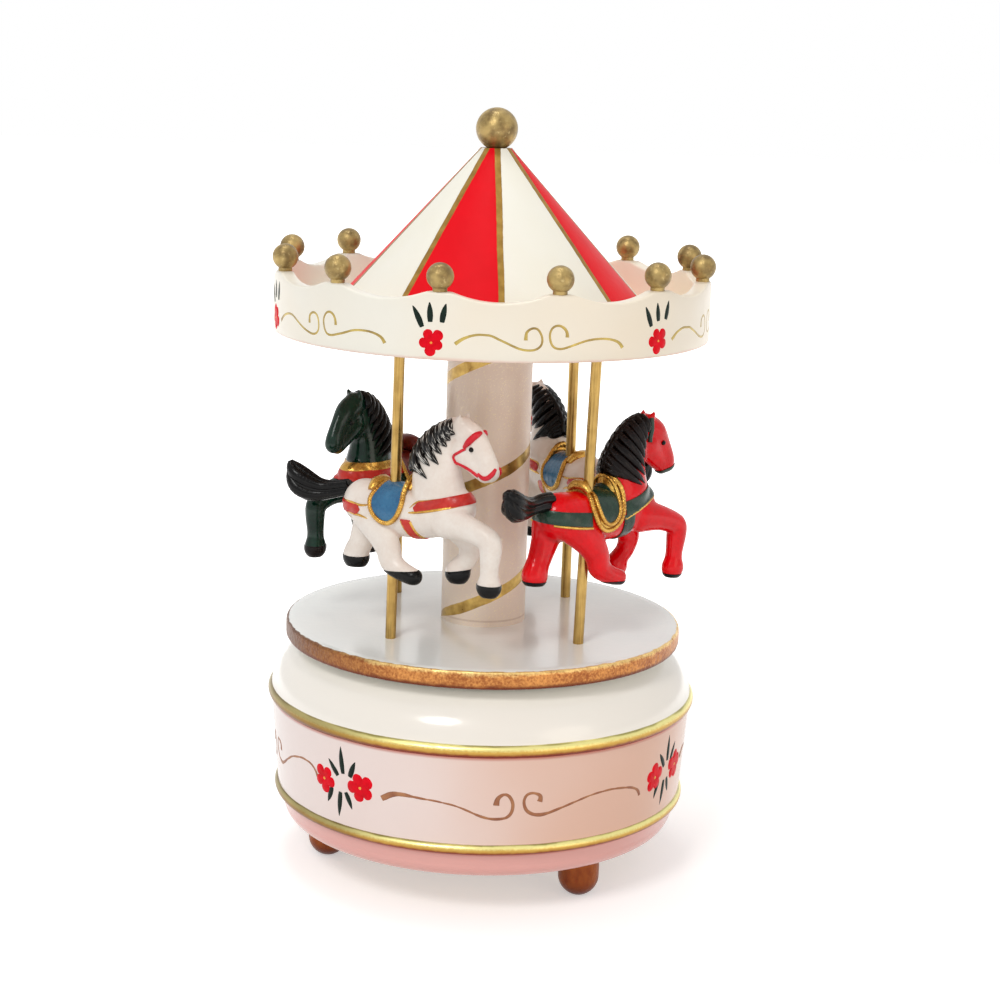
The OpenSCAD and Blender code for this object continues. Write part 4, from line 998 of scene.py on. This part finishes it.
white_resin = enamel("white_resin", (246, 238, 230), (238, 226, 216), 0.3, recess_shade=(214, 178, 158))
red_resin = enamel("red_resin", (242, 0, 18), (218, 0, 10), 0.22, recess_shade=(104, 0, 6), specular=0.1, coat=0.3)
green_resin = enamel("green_resin", (6, 50, 34), (1, 30, 20), 0.2, recess_shade=(1, 11, 7), specular=0.2, coat=0.2)
black_gloss = enamel("black_gloss", (13, 11, 11), (4, 4, 4), 0.14, grain=2.0, relief=0.1, specular=0.1,
                     coat=0.15)
brown_black = enamel("brown_black", (26, 13, 11), (9, 5, 4), 0.22, grain=2.0, relief=0.1, specular=0.1,
                     coat=0.12)
blue_paint = enamel("blue_paint", (62, 124, 166), (40, 96, 140))
strap_red = enamel("strap_red", (214, 52, 40), (182, 34, 30), 0.32)
bridle_red = enamel("bridle_red", (226, 28, 50), (204, 18, 38), 0.34)
strap_green = enamel("strap_green", (30, 62, 46), (16, 42, 30))
saddle_brown = enamel("saddle_brown", (128, 44, 32), (92, 26, 22), 0.34)
tack_gold = enamel("tack_gold", (226, 184, 92), (168, 116, 44), 0.26, metallic=0.8, relief=0.08)

material, place, _ = start_material("streaked_black")
streak = place.node("TexCoord", output="UV").stretched(2.2, 13.0, 1.0).noise(1.0, 2, 1.0)
streak = streak + place.noise(0.5, 2, 0.3)
streaked_black = finish_material(material, streak.step(0.06, 0.26).tint((11, 9, 9), (214, 212, 206)), streak,
                                 0.1, roughness=0.3 + streak * 0.1, coat=0.1, coat_roughness=0.15,
                                 specular=0.15)

# Where each horse stands: its pole, how far the cast is turned from the tangent, its height, how far
# its nose is tipped down, and how far it stands to the pole's right.
horse_places = {"horse_white_front": (1, 12, 0.5, 0, 0.0), "horse_red": (2, -3, -0.2, 4.0, 0.4),
                "horse_white_back": (3, -16, 0.0, 6, 0.6), "horse_green": (4, 10, -0.8, 0, 0.0)}
tipped_about, first_heading = Vector((0, 0, belly_z)), -45
# The planes that each keep one foot's end of the body, as a point and the way outwards.
hooves = [
    [((0, 0, 17.1), (-0.1, 0, 1)), ((-2, 0, 0), (-1, 0, 0)), ((13, 0, 0), (1, 0, 0)),
     ((0, -0.5, 0), (0, 1, 0))],
    [((-10.5, 0, 17.6), (0, 0, 1)), ((-5, 0, 0), (1, 0, 0)), ((0, -0.8, 0), (0, -1, 0))],
    [((30, 0, 17.8), (0, 0, 1)), ((24.5, 0, 0), (-1, 0, 0)), ((0, 0, 0), (0, 1, 0))],
    [((16.6, 0, 17.9), (-0.2, 0, 1)), ((11, 0, 0), (-1, 0, 0)), ((24, 0, 0), (1, 0, 0)),
     ((0, 0.3, 0), (0, -1, 0))],
]


def put(horse, name, parts, material):
    """Joins the parts, moves them from the pattern's place to the horse's, and mounts them."""
    piece = join(parts)
    number, turn, lift, tip, aside = horse_places[horse]
    low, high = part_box(f"pole_{number}")
    heading = math.radians(first_heading + 90 * (number - 1) + turn)
    foot = Vector(((low.x + high.x) / 2 + aside * MM, (low.y + high.y) / 2, (disc_high.z + lift) * MM))
    tipped = Matrix.Translation(tipped_about) @ Matrix.Rotation(math.radians(tip), 4, "Y")
    piece.data.transform(Matrix.Translation(foot) @ Matrix.Rotation(heading, 4, "Z") @ Matrix.Scale(MM, 4)
                         @ tipped @ Matrix.Translation(-tipped_about))
    mount(piece, f"{horse}_{name}", material, "carousel", horse if name == "body" else None, 55)


def cast(horse, resin, hoof, hair, locks, tail, sole=None):
    """What every horse has. The paint of the hooves can stop at a height of its own."""
    stop = [((0, 0, sole), (0, 0, 1))] if sole else []
    put(horse, "body", [copy_of(horse_body)], resin)
    put(horse, "hooves", [over_body(planes + stop, hoof_coat) for planes in hooves], hoof)
    put(horse, "mane", mane_of(locks), hair)
    put(horse, "tail", tail_of(tail), black_gloss)
    put(horse, "eyes", eyes_of(), black_gloss)


# The white horses' gold lines and bridle: points of x and z, a radius, and the share left at the ends.
white_lines = [
    ([(8.6, 31.9), (10.4, 32.2), (14.0, 33.0), (17.6, 33.9), (20.6, 34.6)], 0.36, 0.3),
    ([(8.8, 33.0), (10.6, 34.6), (14.0, 35.4), (18.0, 36.4)], 0.22, 0.3),
    ([(-2.6, 32.2), (-5.0, 31.8), (-8.0, 32.0), (-11.6, 32.2)], 0.3, 0.3),
    ([(-2.6, 29.0), (-5.0, 29.5), (-8.0, 29.5), (-11.6, 29.6)], 0.3, 0.3),
    ([(6.6, 29.8), (7.4, 27.4), (8.0, 25.6)], 0.32, 1.0),
    ([(9.1, 29.9), (9.9, 27.4), (10.4, 25.6)], 0.32, 1.0)]
white_bridle = [
    ([(21.2, 48.2), (22.6, 49.7), (24.0, 51.2), (24.8, 51.9)], 0.8, 0.45),
    ([(21.7, 48.0), (19.9, 46.9), (18.3, 45.8), (18.5, 44.2)], 0.33, 1.0),
    ([(18.5, 44.2), (20.3, 43.9), (22.6, 43.2), (24.9, 42.0)], 0.42, 1.0),
    ([(24.9, 42.6), (26.2, 41.8), (27.6, 42.0), (28.6, 43.0), (28.9, 44.0)], 0.6, 0.6)]
bridle_y = 3.0
saddle = (2.1, 33.9)
for horse, hair in (("horse_white_front", streaked_black), ("horse_white_back", black_gloss)):
    cast(horse, white_resin, black_gloss, hair, short_mane, narrow_tail)
    put(horse, "pad", [flap(saddle, 4.4, 5.1, 0.55)], blue_paint)
    gold = [saddle_rope(saddle, 4.6, 5.3, 37.4, 0.62, 0.45), roll((-3.3, 36.9), 1.7, 3.8),
            roll((7.2, 38.2), 1.1, 3.0)]
    gold += [cord for line, radius, ends in white_lines for cord in lace(line, radius, ends=ends)]
    put(horse, "gilding", gold, tack_gold)
    put(horse, "straps", [strap((10.4, 33.3), (20.7, 35.9), 1.05, point=((10.0, 33.2), -1)),
                          strap((-6.0, 30.7), (-16.0, 30.9), 1.1, point=((-5.2, 30.7), 1)),
                          strap((7.9, 29.6), (9.2, 25.3), 1.1, top=30.0, bottom=23.5)], strap_red)
    bridle = [cord for line, radius, ends in white_bridle for cord in lace(line, radius, bridle_y, ends)]
    put(horse, "bridle", bridle, bridle_red)

horse, saddle, inner_saddle = "horse_red", (3.2, 34.9), (3.2, 35.1)
cast(horse, red_resin, black_gloss, brown_black, long_mane, straight_tail, 15.9)
gold = [flap(saddle, 5.0, 6.4, 0.5), saddle_rope(saddle, 5.1, 6.5, 38.4, 0.62, 0.5),
        saddle_rope(inner_saddle, 3.7, 5.1, 38.2, 0.5, 0.9), roll((-1.4, 38.6), 1.3, 3.4),
        roll((7.6, 40.0), 1.4, 3.2)]
gold += lace([(9.0, 30.8), (13.0, 32.4), (17.0, 34.1), (20.4, 35.4)], 0.35)
gold += lace([(-2.0, 29.3), (-7.0, 29.5), (-11.6, 29.9)], 0.35)
gold += lace([(8.9, 31.2), (9.8, 27.4), (10.2, 25.6)], 0.32)
put(horse, "gilding", gold, tack_gold)
put(horse, "straps", [flap(inner_saddle, 3.4, 4.8, 0.9), strap((10.0, 32.9), (20.0, 37.1), 1.6, x_from=9.4),
                      strap((10.4, 31.2), (11.4, 25.7), 1.6, top=31.6, bottom=23.5),
                      strap((-1.5, 31.2), (-16.6, 31.9), 1.35, x_to=-2.2)], strap_green)
put(horse, "bridle", lace([(18.4, 54.0), (18.6, 51.0), (18.4, 48.2)], 0.7, bridle_y), strap_green)

horse, saddle = "horse_green", (0.5, 34.9)
cast(horse, green_resin, brown_black, black_gloss, long_mane, swung_tail)
put(horse, "pad", [flap(saddle, 5.0, 6.0, 0.6), roll((-3.2, 39.6), 2.2, 3.8)], saddle_brown)
put(horse, "straps", [strap((6.5, 34.7), (22.0, 34.5), 1.0)], strap_red)
put(horse, "gilding", [strap((6.5, 36.6), (22.0, 36.4), 0.85), saddle_rope(saddle, 5.1, 6.1, 38.4, 0.6, 0.5)],
    tack_gold)
bpy.data.objects.remove(horse_body)

# ------------------------------
# The table and the room: a pale plain floor, soft lamps, and the camera. What the camera, metal and
# glass see of the room is plain white, and the floor under the object keeps its shadow.
# ------------------------------
white_light, room_light, floor_white = (1.0, 1.0, 1.0), (1.0, 0.985, 0.97), (0.86, 0.86, 0.86)
room_strength, floor_glow, far_glow = 0.51, 0.46, 0.6
shadow_to, white_from = 140.0, 420.0


def plainly_seen(tree):
    """1 for what the camera, metal and glass see, and 0 for the light that falls on the object."""
    path = Knob(tree).node("LightPath")
    rays = path.also("Is Camera Ray") + path.also("Is Glossy Ray") + path.also("Is Transmission Ray")
    return rays.maths("MINIMUM", rays, 1.0)


pick()
bpy.ops.mesh.primitive_plane_add(size=8, location=(0, 0, 0))
floor = bpy.context.object
floor.name = "floor"
# The floor is seen as it is lit, with a glow added that grows to white away from the object.
material, place, (x, y, _) = start_material("floor_white")
away = from_axis(x, y).step(shadow_to, white_from)
glow = place.node("Emission", {}, {"Color": white_light, "Strength": away * far_glow + floor_glow})
matt = place.node("BsdfDiffuse", {}, {"Color": floor_white})
lit = place.node("AddShader", {}, {0: matt, 1: glow})
mixed = place.node("MixShader", {}, {0: plainly_seen(place.tree), 1: matt, 2: lit})
mixed.node("OutputMaterial", {}, {"Surface": mixed}, None)
floor.data.materials.append(material)

world = bpy.data.worlds.new("room")
bpy.context.scene.world = world
world.use_nodes = True
world.node_tree.nodes.clear()
room = plainly_seen(world.node_tree)
soft = room.node("Background", {}, {"Color": room_light, "Strength": room_strength})
bright = room.node("Background", {}, {"Color": white_light, "Strength": 1.0})
mixed = room.node("MixShader", {}, {0: room, 1: soft, 2: bright})
mixed.node("OutputWorld", {}, {"Surface": mixed}, None)

lamps_aim = Vector((0, 0, 0.09))
for name, at, size, watts, colour in (("front", (-0.9, -1.9, 2.1), 0.9, 25.0, (1.0, 1.0, 0.98)),
                                      ("top", (-0.3, 0.4, 3.0), 1.0, 17.0, (1.0, 1.0, 0.98)),
                                      ("side", (1.6, -1.5, 0.5), 1.2, 5.5, (1.0, 0.86, 0.7))):
    light = bpy.data.lights.new(name, "AREA")
    light.shape, light.size, light.energy, light.color = "DISK", size, watts, colour
    holder = bpy.data.objects.new(name, light)
    bpy.context.scene.collection.objects.link(holder)
    holder.location = at
    holder.rotation_euler = (lamps_aim - Vector(at)).to_track_quat("-Z", "Y").to_euler()

camera_at, camera_down, camera_roll = (0, -0.504, 0.1955), 11.89, 1.67
camera = bpy.data.cameras.new("camera")
camera.sensor_width, camera.lens, camera.shift_x = 36.0, 76.02, 0.0138
camera.clip_start, camera.clip_end = 0.01, 50
eye = bpy.data.objects.new("camera", camera)
bpy.context.scene.collection.objects.link(eye)
eye.matrix_world = (Matrix.Translation(camera_at) @ Matrix.Rotation(math.radians(90 - camera_down), 4, "X")
                    @ Matrix.Rotation(math.radians(camera_roll), 4, "Z"))
bpy.context.scene.camera = eye
bpy.context.scene.view_settings.view_transform = "Standard"
